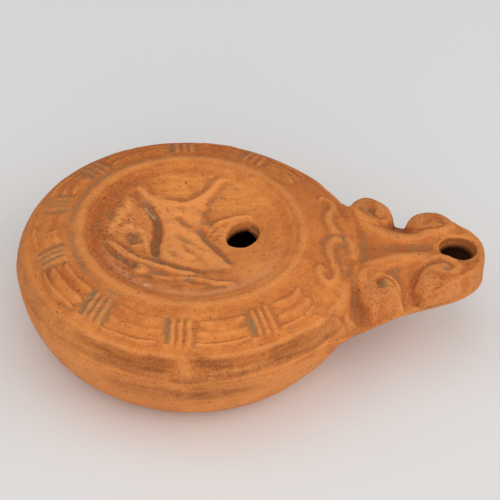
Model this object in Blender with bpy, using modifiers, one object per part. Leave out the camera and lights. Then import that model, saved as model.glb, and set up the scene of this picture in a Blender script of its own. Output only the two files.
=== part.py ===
"""Roman mould-made oil lamp of plain terracotta, empty, standing on its flat base.

The lamp is one hollow body. The origin is the centre of the base, +X runs out along the nozzle
and +Z is up. Lengths are metres.
"""
import math

import bmesh
import bpy

MM = 0.001
NAME = "lamp_body"

# Bowl, driving sizes
BODY_RADIUS = 39.5 * MM
BODY_HEIGHT = 28.2 * MM
BASE_RADIUS = 29.0 * MM
WALL = 3.0 * MM
RING_RADIUS = 25.0 * MM
DISH_DEPTH = 4.4 * MM
SHOULDER_DROP = 4.7 * MM
EDGE_ROUND = 2.6 * MM
SEAM_SHARE = 0.631

# Nozzle, driving sizes
NOZZLE_REACH = 28.0 * MM
TIP_RADIUS = 10.0 * MM
NECK_HALF = 6.3 * MM
NOZZLE_DROP = 5.8 * MM
TOP_RISE = 0.9 * MM
NOZZLE_SEAM_DROP = 2.2 * MM
RIM_AT_NECK = 13.4 * MM

# Holes, driving sizes
FILL_X = 12.0 * MM
FILL_Y = 0.6 * MM
FILL_RADIUS = 3.65 * MM
WICK_HALF_LENGTH = 4.4 * MM
WICK_HALF_WIDTH = 3.8 * MM
WICK_WALL = 2.1 * MM

# Relief, driving sizes
RELIEF = 0.7 * MM
FIGURE_RELIEF = 1.1 * MM
TIE_FIRST = 62.5
TIE_STEP = 33.57
TIES_PER_SIDE = 4
LAST_LEAF = 38.0

# Fitted places
SHOULDER_RADIUS = BODY_RADIUS - EDGE_ROUND
SHOULDER_HEIGHT = BODY_HEIGHT - SHOULDER_DROP
SEAM_HEIGHT = SEAM_SHARE * BODY_HEIGHT
NOZZLE_TOP = BODY_HEIGHT - NOZZLE_DROP
NOZZLE_SEAM = SEAM_HEIGHT - NOZZLE_SEAM_DROP
RING_WIDTH = 1.2 * MM
GROOVE_DROP = 0.9 * MM
DISH_RADIUS = RING_RADIUS - 3.2 * MM
TIP_X = BODY_RADIUS + NOZZLE_REACH
TIP_CENTRE = TIP_X - TIP_RADIUS
WICK_X = TIP_X - WICK_WALL - WICK_HALF_LENGTH
NECK_X = BODY_RADIUS + 0.38 * NOZZLE_REACH
ROOT_X = 0.5 * BODY_RADIUS
SHOULDER_PAD = (BODY_RADIUS + 0.085 * NOZZLE_REACH, 2.0 * NECK_HALF, 5.0 * MM)
TIP_PAD = (TIP_CENTRE - 0.5 * MM, 0.83 * TIP_RADIUS, 4.5 * MM)

BODY_STEPS = 72
CAVITY_STEPS = 48
HOLE_SIDES = 28
MERGE = 0.00001


def clear_scene():
    for old in list(bpy.data.objects):
        bpy.data.objects.remove(old, do_unlink=True)


def new_collection(name):
    collection = bpy.data.collections.new(name)
    bpy.context.scene.collection.children.link(collection)
    return collection


def terracotta():
    material = bpy.data.materials.new("terracotta")
    material.use_nodes = True
    shader = material.node_tree.nodes["Principled BSDF"]
    shader.inputs["Base Color"].default_value = (0.52, 0.20, 0.07, 1.0)
    shader.inputs["Roughness"].default_value = 0.82
    shader.inputs["Metallic"].default_value = 0.0
    return material


def place(name, mesh, collection):
    result = bpy.data.objects.new(name, mesh)
    collection.objects.link(result)
    return result


def as_guide(result):
    result.hide_render = True
    result.display_type = "WIRE"
    return result


def turned(name, profile, steps, collection):
    """A profile of (radius, height) points turned round Z, given down its outer side."""
    mesh = bpy.data.meshes.new(name)
    points = [(radius, 0.0, height) for radius, height in profile]
    mesh.from_pydata(points, [(i, i + 1) for i in range(len(points) - 1)], [])
    result = place(name, mesh, collection)
    screw = result.modifiers.new("Turn", "SCREW")
    screw.steps = steps
    screw.render_steps = steps
    screw.use_merge_vertices = True
    screw.merge_threshold = MERGE
    return result


def loft(name, rings, collection):
    """A closed skin over rings of equally many points, listed from the top ring down."""
    count = len(rings[0])
    points = [point for ring in rings for point in ring]
    faces = [tuple(range(count))]
    for level in range(len(rings) - 1):
        upper = level * count
        lower = upper + count
        for i in range(count):
            j = (i + 1) % count
            faces.append((upper + i, lower + i, lower + j, upper + j))
    last = (len(rings) - 1) * count
    faces.append(tuple(reversed(range(last, last + count))))
    mesh = bpy.data.meshes.new(name)
    mesh.from_pydata(points, [], faces)
    return place(name, mesh, collection)


def roll(name, path, sizes, collection):
    """A round roll along a path, its radius given at each point."""
    curve = bpy.data.curves.new(name, "CURVE")
    curve.dimensions = "3D"
    curve.bevel_depth = 1.0
    curve.bevel_resolution = 2
    curve.use_fill_caps = True
    spline = curve.splines.new("POLY")
    spline.points.add(len(path) - 1)
    for point, place_at, size in zip(spline.points, path, sizes):
        point.co = (*place_at, 1.0)
        point.radius = size
    guide = place(name, curve, collection)
    depsgraph = bpy.context.evaluated_depsgraph_get()
    mesh = bpy.data.meshes.new_from_object(guide.evaluated_get(depsgraph))
    bm = bmesh.new()
    bm.from_mesh(mesh)
    bmesh.ops.remove_doubles(bm, verts=bm.verts, dist=MERGE)
    bm.to_mesh(mesh)
    bm.free()
    bpy.data.objects.remove(guide, do_unlink=True)
    return as_guide(place(name, mesh, collection))


def smooth_path(points, pieces):
    """Catmull-Rom points through the given plan points, ends kept."""
    padded = [points[0]] + list(points) + [points[-1]]
    path = []
    for i in range(1, len(padded) - 2):
        before, start, end, after = padded[i - 1:i + 3]
        for step in range(pieces):
            t = step / pieces
            path.append(tuple(
                0.5 * (2 * b + (c - a) * t + (2 * a - 5 * b + 4 * c - d) * t ** 2
                       + (3 * b - a - 3 * c + d) * t ** 3)
                for a, b, c, d in zip(before, start, end, after)))
    path.append(tuple(points[-1]))
    return path


def mirrored(points):
    return [(x, -y) for x, y in points]


def body_profile():
    """Outer profile from the middle of the discus out over the shoulder and down to the base."""
    dish_floor = BODY_HEIGHT - DISH_DEPTH
    dish_rise = DISH_DEPTH - 1.2 * MM
    dish = [(DISH_RADIUS * t, dish_floor + dish_rise * t ** 2) for t in (0.0, 0.4, 0.7, 0.9, 1.0)]
    ring = [
        (RING_RADIUS - 2.0 * RING_WIDTH, BODY_HEIGHT - 0.7 * MM),
        (RING_RADIUS - RING_WIDTH, BODY_HEIGHT - GROOVE_DROP),
        (RING_RADIUS, BODY_HEIGHT),
        (RING_RADIUS + RING_WIDTH, BODY_HEIGHT - GROOVE_DROP),
    ]
    shoulder_drop = BODY_HEIGHT - GROOVE_DROP - SHOULDER_HEIGHT
    shoulder = [
        (SHOULDER_RADIUS - 4.0 * MM, SHOULDER_HEIGHT + 0.54 * shoulder_drop),
        (SHOULDER_RADIUS, SHOULDER_HEIGHT),
        (SHOULDER_RADIUS + 0.75 * EDGE_ROUND, SHOULDER_HEIGHT - 0.77 * EDGE_ROUND),
    ]
    bowl_width = BODY_RADIUS - BASE_RADIUS
    bowl = [(BODY_RADIUS, SEAM_HEIGHT)]
    for turn in (18.0, 36.0, 54.0, 72.0):
        angle = math.radians(turn)
        bowl.append((BASE_RADIUS + bowl_width * math.cos(angle) ** 1.2,
                     SEAM_HEIGHT * (1.0 - math.sin(angle) ** 1.2)))
    base = [(BASE_RADIUS, 0.0), (0.0, 0.0)]
    return dish + ring + shoulder + bowl + base


def profile_height(radius):
    """Height of the body's upper surface over the plan radius."""
    upper = body_profile()
    for (inner, high), (outer, low) in zip(upper, upper[1:]):
        if inner <= radius <= outer:
            return high + (low - high) * (radius - inner) / (outer - inner)
    return SHOULDER_HEIGHT


def surface_height(x, y):
    """Height of the lamp's top at a plan point, on the body or on the nozzle."""
    radius = math.hypot(x, y)
    if radius > SHOULDER_RADIUS:
        return NOZZLE_TOP + nozzle_slope(x)
    return profile_height(radius)


def cavity_profile():
    """Inner profile, a wall's thickness inside the outer one."""
    ceiling = BODY_HEIGHT - DISH_DEPTH - WALL
    return [
        (0.0, ceiling),
        (0.75 * DISH_RADIUS, ceiling + 0.8 * MM),
        (RING_RADIUS + 1.0 * MM, BODY_HEIGHT - GROOVE_DROP - 1.1 * WALL),
        (SHOULDER_RADIUS - 0.8 * WALL, SHOULDER_HEIGHT - WALL),
        (BODY_RADIUS - WALL, SEAM_HEIGHT),
        (BODY_RADIUS - 1.15 * WALL, 0.62 * SEAM_HEIGHT),
        (BODY_RADIUS - 1.9 * WALL, 0.38 * SEAM_HEIGHT),
        (BASE_RADIUS, 1.2 * WALL),
        (BASE_RADIUS - WALL, WALL),
        (0.0, WALL),
    ]


def nozzle_slope(x):
    """Rise of the nozzle's top from the neck back towards the shoulder."""
    return TOP_RISE * max(0.0, (NECK_X - x) / (NECK_X - SHOULDER_RADIUS)) ** 1.5


def nozzle_ring(stations, tip_radius, height, stretch=1.0, squeeze=1.0, sloped=False):
    """One level outline: stations along the side, then an arc round the tip, then mirrored."""
    half = list(stations)
    for turn in (72.0, 54.0, 36.0, 18.0):
        angle = math.radians(turn)
        half.append((TIP_CENTRE + tip_radius * math.cos(angle), tip_radius * math.sin(angle)))
    outline = half + [(TIP_CENTRE + tip_radius, 0.0)] + mirrored(half)[::-1]
    return [(ROOT_X + (x - ROOT_X) * stretch, -y * squeeze, height + (nozzle_slope(x) if sloped else 0.0))
            for x, y in outline]


def neck_stations(spread=0.0):
    """Outline of the neck's top from the shoulder to the tip."""
    return [
        (ROOT_X, 2.6 * NECK_HALF + spread),
        (BODY_RADIUS - 3.4 * MM, 2.1 * NECK_HALF + spread),
        (BODY_RADIUS + 2.6 * MM, 1.4 * NECK_HALF + spread),
        (NECK_X - 3.5 * MM, 1.08 * NECK_HALF + spread),
        (NECK_X, NECK_HALF + spread),
        (NECK_X + 3.0 * MM, 1.12 * NECK_HALF + spread),
        (TIP_CENTRE - 1.5 * MM, 0.89 * TIP_RADIUS + spread),
    ]


def rim_stations():
    """Outline at the seam, running tangent to the bowl and drawing in towards the tip."""
    touch = math.radians(40.0)
    touch_x = BODY_RADIUS * math.cos(touch)
    touch_y = BODY_RADIUS * math.sin(touch) - 0.3 * MM
    stations = [(ROOT_X, 0.76 * BODY_RADIUS)]
    for share in (0.0, 0.33, 0.62, 0.82, 1.0):
        stations.append((touch_x + share * (NECK_X - touch_x),
                         touch_y + share * (RIM_AT_NECK - touch_y)))
    stations.append((TIP_CENTRE - 1.5 * MM, 1.12 * TIP_RADIUS))
    return stations


def between(first, second, share):
    return [(a[0] + share * (b[0] - a[0]), a[1] + share * (b[1] - a[1])) for a, b in zip(first, second)]


def nozzle_rings():
    """Level outlines of the nozzle from its flat top over the seam to the keel of its hull."""
    top = neck_stations()
    rim = rim_stations()
    edge = 0.8 * MM
    rings = [
        nozzle_ring(top, TIP_RADIUS - edge, NOZZLE_TOP, sloped=True),
        nozzle_ring(neck_stations(0.6 * edge), TIP_RADIUS - 0.3 * edge, NOZZLE_TOP - edge, sloped=True),
        nozzle_ring(between(top, rim, 0.36), TIP_RADIUS, 0.5 * (NOZZLE_TOP + NOZZLE_SEAM)),
        nozzle_ring(rim, TIP_RADIUS - 0.3 * edge, NOZZLE_SEAM),
    ]
    for depth, stretch, squeeze in ((0.10, 0.97, 0.96), (0.25, 0.88, 0.86), (0.45, 0.72, 0.73),
                                    (0.68, 0.52, 0.62), (0.90, 0.25, 0.50)):
        rings.append(nozzle_ring(rim, TIP_RADIUS - edge, NOZZLE_SEAM * (1.0 - depth),
                                 stretch, squeeze))
    return rings


def passage_rings():
    """Level outlines of the hollow under the nozzle's top, a wall inside the outer hull."""
    rim = [(x, max(y - 1.2 * WALL, 0.3 * y)) for x, y in rim_stations()]
    neck = [(x, y - 0.4 * WALL) for x, y in neck_stations()]
    tip = TIP_RADIUS - 0.8 * WALL
    ceiling = NOZZLE_TOP - WALL
    rings = [
        nozzle_ring(neck, tip, ceiling),
        nozzle_ring(between(neck, rim, 0.5), tip, 0.5 * (ceiling + NOZZLE_SEAM)),
        nozzle_ring(rim, tip, NOZZLE_SEAM),
        nozzle_ring(rim, tip, 0.92 * NOZZLE_SEAM, 0.98, 0.965),
        nozzle_ring(rim, tip, 0.80 * NOZZLE_SEAM, 0.88, 0.84),
        nozzle_ring(rim, tip, 0.60 * NOZZLE_SEAM, 0.66, 0.70),
        nozzle_ring(rim, tip, 0.40 * NOZZLE_SEAM, 0.40, 0.55),
    ]
    return rings


def knob(name, where, foot, side, collection):
    """One volute lobe: a round pad with a rolled top edge, standing on the seam's rim."""
    x, y, radius = where
    bottom = NOZZLE_SEAM + foot
    top = NOZZLE_TOP + 0.4 * MM + nozzle_slope(x)
    bm = bmesh.new()
    bmesh.ops.create_cone(bm, cap_ends=True, segments=20, radius1=0.94 * radius, radius2=radius,
                          depth=top - bottom)
    upper = [edge for edge in bm.edges if all(vert.co.z > 0.0 for vert in edge.verts)]
    bmesh.ops.bevel(bm, geom=upper, offset=1.2 * MM, segments=2, profile=0.5, affect="EDGES")
    mesh = bpy.data.meshes.new(name)
    bm.to_mesh(mesh)
    bm.free()
    result = place(name, mesh, collection)
    result.location = (x, side * y, 0.5 * (top + bottom))
    return as_guide(result)


def volute_band(name, side, collection):
    """The raised band along one side of the neck, curling round the volute lobe at each end."""
    pad_x, pad_y, pad_radius = SHOULDER_PAD
    tip_x, tip_y, tip_radius = TIP_PAD
    path = []
    for turn in (-10.0, -40.0, -70.0, -100.0, -130.0, -160.0, -195.0):
        angle = math.radians(turn)
        path.append((pad_x + 0.76 * pad_radius * math.cos(angle),
                     pad_y - 0.76 * pad_radius * math.sin(angle)))
    path += [
        (pad_x - 3.6 * MM, pad_y - 3.2 * MM),
        (pad_x - 0.6 * MM, pad_y - 6.6 * MM),
        (NECK_X - 5.6 * MM, 0.66 * NECK_HALF),
        (NECK_X - 2.4 * MM, 0.49 * NECK_HALF),
        (NECK_X + 0.8 * MM, 0.48 * NECK_HALF),
        (NECK_X + 4.0 * MM, 0.60 * NECK_HALF),
        (tip_x + 0.8 * MM, tip_y - 3.3 * MM),
    ]
    for turn in (-40.0, 0.0, 40.0, 80.0, 120.0):
        angle = math.radians(turn)
        path.append((tip_x + 0.68 * tip_radius * math.cos(angle),
                     tip_y + 0.68 * tip_radius * math.sin(angle)))
    path = smooth_path(path, 1)
    sizes = []
    for i in range(len(path)):
        end = min(i, len(path) - 1 - i)
        sizes.append(min(2.0, 0.9 + 0.28 * end) * MM)
    lifted = [(x, side * y, NOZZLE_TOP + nozzle_slope(x) + 1.0 * MM - size)
              for (x, y), size in zip(path, sizes)]
    return roll(name, lifted, sizes, collection)


def scroll(name, side, collection):
    """One S-shaped roll on the shoulder before the nozzle, mirrored about the axis."""
    x = RING_RADIUS + 6.4 * MM
    points = [
        (x + 2.8 * MM, 0.6 * MM), (x + 1.1 * MM, 1.4 * MM), (x, 4.0 * MM), (x, 7.0 * MM),
        (x + 1.1 * MM, 10.3 * MM), (x + 0.9 * MM, 13.1 * MM), (x - 0.9 * MM, 14.8 * MM),
        (x - 2.6 * MM, 14.2 * MM), (x - 3.2 * MM, 12.1 * MM), (x - 2.2 * MM, 10.6 * MM),
    ]
    path = smooth_path(points, 2)
    size = 1.05 * MM
    lifted = [(px, side * py, surface_height(px, py) + RELIEF - size) for px, py in path]
    sizes = [size] * len(path)
    sizes[0] = sizes[-1] = 0.6 * size
    return roll(name, lifted, sizes, collection)


def tie(name, angle, collection):
    """Three short bars that bind the garland, lying across it."""
    middle = 0.5 * (RING_RADIUS + RING_WIDTH + SHOULDER_RADIUS) + 0.6 * MM
    half = 3.6 * MM
    bars = []
    for place_in_row in (-1, 0, 1):
        path = []
        for share in (-1.0, 0.0, 1.0):
            radius = middle + share * half
            sideways = place_in_row * 2.0 * MM
            x = radius * math.cos(angle) - sideways * math.sin(angle)
            y = radius * math.sin(angle) + sideways * math.cos(angle)
            path.append((x, y, profile_height(math.hypot(x, y)) + RELIEF - 0.85 * MM))
        bars.append(roll(f"{name}_{place_in_row + 2}", path, [0.6 * MM, 0.85 * MM, 0.6 * MM], collection))
    return bars


def leaves(name, start, end, collection):
    """A bundle of three long narrow leaves, side by side, between two ties."""
    inner = RING_RADIUS + RING_WIDTH + 2.0 * MM
    outer = SHOULDER_RADIUS - 1.6 * MM
    bundle = []
    for row in range(3):
        radius = inner + (outer - inner) * row / 2.0
        path = []
        sizes = []
        for step in range(6):
            share = step / 5.0
            angle = math.radians(start + (end - start) * share)
            size = (0.45 + 1.05 * math.sin(math.pi * share)) * MM
            height = profile_height(radius) + 0.65 * RELIEF * (0.4 + math.sin(math.pi * share)) - size
            path.append((radius * math.cos(angle), radius * math.sin(angle), height))
            sizes.append(size)
        bundle.append(roll(f"{name}_{row + 1}", path, sizes, collection))
    return bundle


def garland(collection):
    """The bound garland round the shoulder, open at the nozzle."""
    gap = 6.5
    for side in (-1.0, 1.0):
        word = "near" if side < 0.0 else "far"
        for i in range(TIES_PER_SIDE):
            turn = TIE_FIRST + i * TIE_STEP
            tie(f"tie_{word}_{i + 1}", side * math.radians(turn), collection)
            first = LAST_LEAF if i == 0 else turn - TIE_STEP + gap
            leaves(f"leaves_{word}_{i + 1}", side * first, side * (turn - gap), collection)
    last = TIE_FIRST + (TIES_PER_SIDE - 1) * TIE_STEP
    leaves("leaves_back", last + gap, 360.0 - last - gap, collection)


def figure(collection):
    """The worn relief in the discus: two raised wings over a long curved branch.

    Places are in parts of the dish's radius, 22 parts from the middle to its edge.
    """
    unit = DISH_RADIUS / 22.0
    strokes = {
        "wing_left": (((-13.7, 17.0), (-9.3, 12.8), (-3.6, 4.5), (2.0, -1.8), (8.4, -8.2)),
                      (0.8, 1.9, 2.6, 2.2, 0.8)),
        "wing_span": (((-9.3, 14.6), (-3.8, 12.4), (0.6, 12.2), (4.6, 14.8), (8.7, 20.0)),
                      (0.8, 2.0, 2.4, 2.0, 0.8)),
        "wing_right": (((7.2, 17.6), (4.4, 12.0), (2.8, 6.6), (2.4, 1.6)), (0.8, 1.9, 1.9, 0.8)),
        "lobe": (((-18.6, -1.2), (-18.0, 4.0), (-16.2, 8.6), (-13.9, 13.6)), (0.8, 1.6, 1.6, 0.8)),
        "branch": (((-20.0, -1.8), (-13.2, -7.3), (-7.0, -9.8), (-0.3, -12.4), (5.5, -14.6),
                    (11.5, -16.0)), (0.8, 1.9, 2.1, 2.0, 1.6, 0.8)),
    }
    for name, (points, sizes) in strokes.items():
        path = smooth_path([(x * unit, y * unit) for x, y in points], 2)
        spread = smooth_path([(size * MM, 0.0) for size in sizes], 2)
        radii = [pair[0] for pair in spread]
        lifted = [(x, y, profile_height(math.hypot(x, y)) + FIGURE_RELIEF - size)
                  for (x, y), size in zip(path, radii)]
        roll(name, lifted, radii, collection)


def lug(name, side, collection):
    """A low worn lug on the side of the bowl, above the seam."""
    bm = bmesh.new()
    bmesh.ops.create_uvsphere(bm, u_segments=12, v_segments=8, radius=1.0)
    bmesh.ops.scale(bm, verts=bm.verts, vec=(3.4 * MM, 1.6 * MM, 2.8 * MM))
    mesh = bpy.data.meshes.new(name)
    bm.to_mesh(mesh)
    bm.free()
    result = place(name, mesh, collection)
    result.location = (-3.0 * MM, side * (BODY_RADIUS - 0.9 * MM), SEAM_HEIGHT + 1.8 * MM)
    return as_guide(result)


def hole(name, where, half_length, half_width, low, high, collection):
    bm = bmesh.new()
    bmesh.ops.create_cone(bm, cap_ends=True, segments=HOLE_SIDES, radius1=1.0, radius2=1.0,
                          depth=high - low)
    bmesh.ops.scale(bm, verts=bm.verts, vec=(half_length, half_width, 1.0))
    mesh = bpy.data.meshes.new(name)
    bm.to_mesh(mesh)
    bm.free()
    result = place(name, mesh, collection)
    result.location = (where[0], where[1], 0.5 * (low + high))
    return as_guide(result)


def combine(target, operation, tools):
    """A Boolean of a whole collection on the target."""
    step = target.modifiers.new(operation.title(), "BOOLEAN")
    step.operation = operation
    step.operand_type = "COLLECTION"
    step.collection = tools
    step.solver = "EXACT"
    step.use_self = True


def main():
    clear_scene()
    lamp = new_collection("Roman Oil Lamp")
    carving = new_collection("Lamp Carving")
    cutters = new_collection("Lamp Cutters")

    body = turned(NAME, body_profile(), BODY_STEPS, lamp)
    body.data.materials.append(terracotta())
    as_guide(loft("nozzle", nozzle_rings(), carving))
    for side, word in ((-1.0, "near"), (1.0, "far")):
        knob(f"shoulder_volute_{word}", SHOULDER_PAD, -0.6 * MM, side, carving)
        knob(f"tip_volute_{word}", TIP_PAD, 1.4 * MM, side, carving)
        volute_band(f"band_{word}", side, carving)
        scroll(f"scroll_{word}", side, carving)
        lug(f"lug_{word}", side, carving)
    garland(carving)
    figure(carving)

    as_guide(turned("oil_chamber", cavity_profile(), CAVITY_STEPS, cutters))
    as_guide(loft("wick_passage", passage_rings(), cutters))
    hole("fill_hole", (FILL_X, FILL_Y), FILL_RADIUS, FILL_RADIUS,
         0.5 * BODY_HEIGHT, 1.1 * BODY_HEIGHT, cutters)
    hole("wick_hole", (WICK_X, 0.0), WICK_HALF_LENGTH, WICK_HALF_WIDTH,
         NOZZLE_SEAM, 1.1 * BODY_HEIGHT, cutters)

    combine(body, "UNION", carving)
    combine(body, "DIFFERENCE", cutters)
    bpy.context.view_layer.update()


main()
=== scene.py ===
# %% [markdown]
# # A Roman oil lamp in plain terracotta
#
# A mould-made lamp is one hollow body of fired clay: a round bowl, a flat shoulder with a garland,
# a sunk discus with a worn relief and the filling hole, and a nozzle with two pairs of volutes.
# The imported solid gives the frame, and everything here is dressed on it, in the same place.

# %% Load the frame
import math

import bpy
import numpy as np
from mathutils import Matrix, Vector


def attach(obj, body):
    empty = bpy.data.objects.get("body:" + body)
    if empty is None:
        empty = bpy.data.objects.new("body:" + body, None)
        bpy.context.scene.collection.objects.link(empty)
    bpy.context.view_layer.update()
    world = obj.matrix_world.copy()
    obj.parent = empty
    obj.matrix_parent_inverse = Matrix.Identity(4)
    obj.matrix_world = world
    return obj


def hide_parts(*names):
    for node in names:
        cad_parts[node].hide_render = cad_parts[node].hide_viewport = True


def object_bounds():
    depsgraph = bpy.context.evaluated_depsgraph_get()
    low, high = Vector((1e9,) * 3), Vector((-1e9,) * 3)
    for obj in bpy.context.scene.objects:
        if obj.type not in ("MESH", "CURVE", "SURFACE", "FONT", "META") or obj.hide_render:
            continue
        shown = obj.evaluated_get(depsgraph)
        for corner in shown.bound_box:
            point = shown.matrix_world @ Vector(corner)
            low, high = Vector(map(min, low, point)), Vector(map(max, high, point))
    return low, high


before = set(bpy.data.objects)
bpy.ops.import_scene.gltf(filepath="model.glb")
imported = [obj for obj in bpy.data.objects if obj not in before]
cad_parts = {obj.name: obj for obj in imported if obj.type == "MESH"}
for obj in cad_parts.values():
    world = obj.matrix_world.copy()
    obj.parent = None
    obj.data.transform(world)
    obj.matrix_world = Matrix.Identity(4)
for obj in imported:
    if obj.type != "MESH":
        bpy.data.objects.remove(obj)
cad_low, cad_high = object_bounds()
MM = 0.001
print("CAD box in mm:", [round(v / MM, 1) for v in (*cad_low, *cad_high)])

# %% [markdown]
# ## The sizes everything hangs on
#
# The box of the solid gives the reach of the nozzle, the radius of the bowl and the height of the
# ring. All lengths below are millimetres, and the mesh is brought to metres at the end, because a
# potter's numbers are easier to read than thousandths of a metre.

# %% Main sizes
HEIGHT = cad_high.z / MM                 # the top of the ring
BOWL = -cad_low.x / MM                   # the bowl's widest radius
REACH = cad_high.x / MM                  # from the bowl's axis to the tip of the nozzle
BASE = 29.0                              # radius of the base
SEAM = 0.631 * HEIGHT                    # the joint of the two mould halves, on the bowl
DISH, RING = 21.8, 25.0                  # radius of the dish and of the ring's crest
SHOULDER_START, SHOULDER_END = 27.4, 36.9
TIP = 10.0                               # radius of the nozzle's round tip
TIP_CENTRE = REACH - TIP
NOZZLE_ROOT, NECK = 19.75, 50.14         # where the nozzle's outline starts, and its waist
NOZZLE_TOP, NOZZLE_SEAM = HEIGHT - 5.8, SEAM - 2.2
FILL, FILL_RADIUS = (11.9, 1.9), 4.15
FILL_OVAL, FILL_TURN = 0.10, 1.19        # share by which the filling hole is oval, and which way
WICK, WICK_LONG, WICK_WIDE = 61.0, 4.4, 4.1
print(f"bowl {2 * BOWL:.1f} across, nozzle to {REACH:.1f}, height {HEIGHT:.1f} mm")

# %% [markdown]
# ## Small shape helpers
#
# Relief in clay is soft: one form runs into the next. A smooth maximum joins two heights with a
# little fillet, and a ridge or a groove is a height that depends on the distance to a line drawn
# in plan, just as a tool follows a line in the mould.

# %% Helpers for soft forms
def ramp(low, high, x):
    """Smooth step: 0 below low, 1 above high, 3t^2 - 2t^3 between."""
    t = np.clip((x - low) / (high - low), 0.0, 1.0)
    return t * t * (3.0 - 2.0 * t)


def mix(a, b, t):
    """a + (b - a) t."""
    return a + (b - a) * t


def soft_max(a, b, width):
    """The larger of two heights, with a fillet a quarter of width deep where they are equal."""
    return np.maximum(a, b) + np.maximum(width - np.abs(a - b), 0.0) ** 2 / (4.0 * width)


def eased(points, pieces=5):
    """Catmull-Rom curve through plan points, ends kept, as an array of points."""
    p = np.array(points, float)
    p = np.vstack([2 * p[0] - p[1], p, 2 * p[-1] - p[-2]])
    t = (np.arange(pieces) / pieces)[:, None, None]
    a, b, c, d = p[:-3], p[1:-2], p[2:-1], p[3:]
    curve = 0.5 * (2 * b + (c - a) * t + (2 * a - 5 * b + 4 * c - d) * t ** 2
                   + (3 * b - a - 3 * c + d) * t ** 3)
    return np.vstack([curve.transpose(1, 0, 2).reshape(-1, p.shape[1]), p[-2]])


def along(x, y, line):
    """Distance to a polyline in plan, and the share of its length where the nearest point lies."""
    best = np.full(np.shape(x), 1e9)
    share = np.zeros(np.shape(x))
    steps = np.hypot(*(line[1:] - line[:-1]).T)
    reached = np.concatenate([[0.0], np.cumsum(steps)]) / steps.sum()
    for (x0, y0), (x1, y1), s0, s1 in zip(line[:-1], line[1:], reached[:-1], reached[1:]):
        dx, dy = x1 - x0, y1 - y0
        t = np.clip(((x - x0) * dx + (y - y0) * dy) / (dx * dx + dy * dy), 0.0, 1.0)
        d = np.hypot(x - x0 - t * dx, y - y0 - t * dy)
        nearer = d < best
        best = np.where(nearer, d, best)
        share = np.where(nearer, mix(s0, s1, t), share)
    return best, share


def ridge(x, y, points, width, height, taper):
    """Raised line: height times a bell of the distance over width, faded over taper at its ends."""
    d, s = along(x, y, eased(points))
    end = np.sqrt(ramp(0.0, taper, s) * ramp(0.0, taper, 1.0 - s))
    return height * end * np.exp(-(d / width) ** 2)


def depth_inside(x, y, outline):
    """Distance to a closed outline in plan, positive inside it and negative outside."""
    line = eased(list(outline) + [outline[0]], 3)
    d, _ = along(x, y, line)
    crossings = np.zeros(np.shape(x), int)
    for (x0, y0), (x1, y1) in zip(line[:-1], line[1:]):
        spans = (y0 > y) != (y1 > y)
        with np.errstate(divide="ignore", invalid="ignore"):
            at = x0 + (y - y0) * (x1 - x0) / (y1 - y0)
        crossings += spans & (x < at)
    return np.where(crossings % 2 == 1, d, -d)


def ripple(x, y, size, seed):
    """Low waviness: four crossed sine waves of about that size, between -1 and 1."""
    rng = np.random.default_rng(seed)
    total = 0.0
    for angle, phase, stretch in zip(rng.uniform(0, np.pi, 4), rng.uniform(0, 2 * np.pi, 4),
                                     rng.uniform(0.7, 1.4, 4)):
        total = total + np.sin(2 * np.pi * (x * math.cos(angle) + y * math.sin(angle))
                               / (size * stretch) + phase)
    return total / 4.0


def spot(x, y, at_x, at_y, size):
    """A round soft spot: exp(-(distance / size)^2)."""
    return np.exp(-((x - at_x) ** 2 + (y - at_y) ** 2) / size ** 2)


def bell(*terms):
    """exp(-sum of ((v - middle) / width)^power), each term being v, middle, width, power."""
    return np.exp(-sum(((v - middle) / width) ** power for v, middle, width, power in terms))


print("a fillet of 2 mm lifts equal heights by", float(soft_max(0.0, 0.0, 2.0)), "mm")

# %% [markdown]
# ## The body's upper surface
#
# The bowl, its shoulder and the sunk discus are round, so their height is a function of the radius
# alone: a shallow dish, two rings with a groove on each side, and a shoulder that falls in a curve.

# %% Height of the round body
def shoulder_height(r):
    """Shoulder: falls by 0.147 s + 0.022 s^2, with s the way out from the ring's outer groove."""
    s = np.maximum(r - 26.6, 0.0)
    return HEIGHT - 0.85 - 0.147 * s - 0.022 * s ** 2


RINGS = eased([(20.2, -1.65), (21.2, -1.40), (22.0, -1.12), (22.7, -0.80), (23.1, -0.56),
               (23.5, -0.47), (23.9, -0.40), (24.5, -0.22), (25.0, -0.13), (25.5, -0.15),
               (26.1, -0.34), (26.7, -0.64), (27.3, -0.88), (28.0, -1.07)])


def body_height(r):
    """Dish H - 4.4 + 3.2 (r/21.8)^2, the two rings by points, the shoulder, then the rounded side.

    The side is a quarter ellipse 2.6 mm wide and 5.7 mm high. Outside the bowl the surface falls
    steeply, so that the nozzle's height wins there.
    """
    dish = HEIGHT - 4.4 + 3.2 * (r / DISH) ** 2
    rings = HEIGHT + np.interp(r, RINGS[:, 0], RINGS[:, 1])
    plain = np.where(r < RINGS[0, 0], dish, np.where(r < RINGS[-1, 0], rings, shoulder_height(r)))
    side = SEAM + 5.7 * np.sqrt(np.clip(1.0 - ((r - SHOULDER_END) / 2.6) ** 2, 0.0, 1.0))
    fall = np.where(r < BOWL, side, SEAM - 6.0 * (r - BOWL))
    return np.where(r < SHOULDER_END, plain, fall)


probe = np.array([0.0, 12.0, DISH, RING, 30.0, SHOULDER_END])
print("body heights:", dict(zip(probe, body_height(probe).round(2))))

# %% [markdown]
# ## The nozzle
#
# Seen from above the nozzle has two outlines: the narrow top of the neck, and the wide rim at the
# seam of the two moulds. Between them the side sweeps down in a hollow. Two round volute lobes on
# each side stand in that hollow, one at the shoulder and one beside the wick hole.

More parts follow.
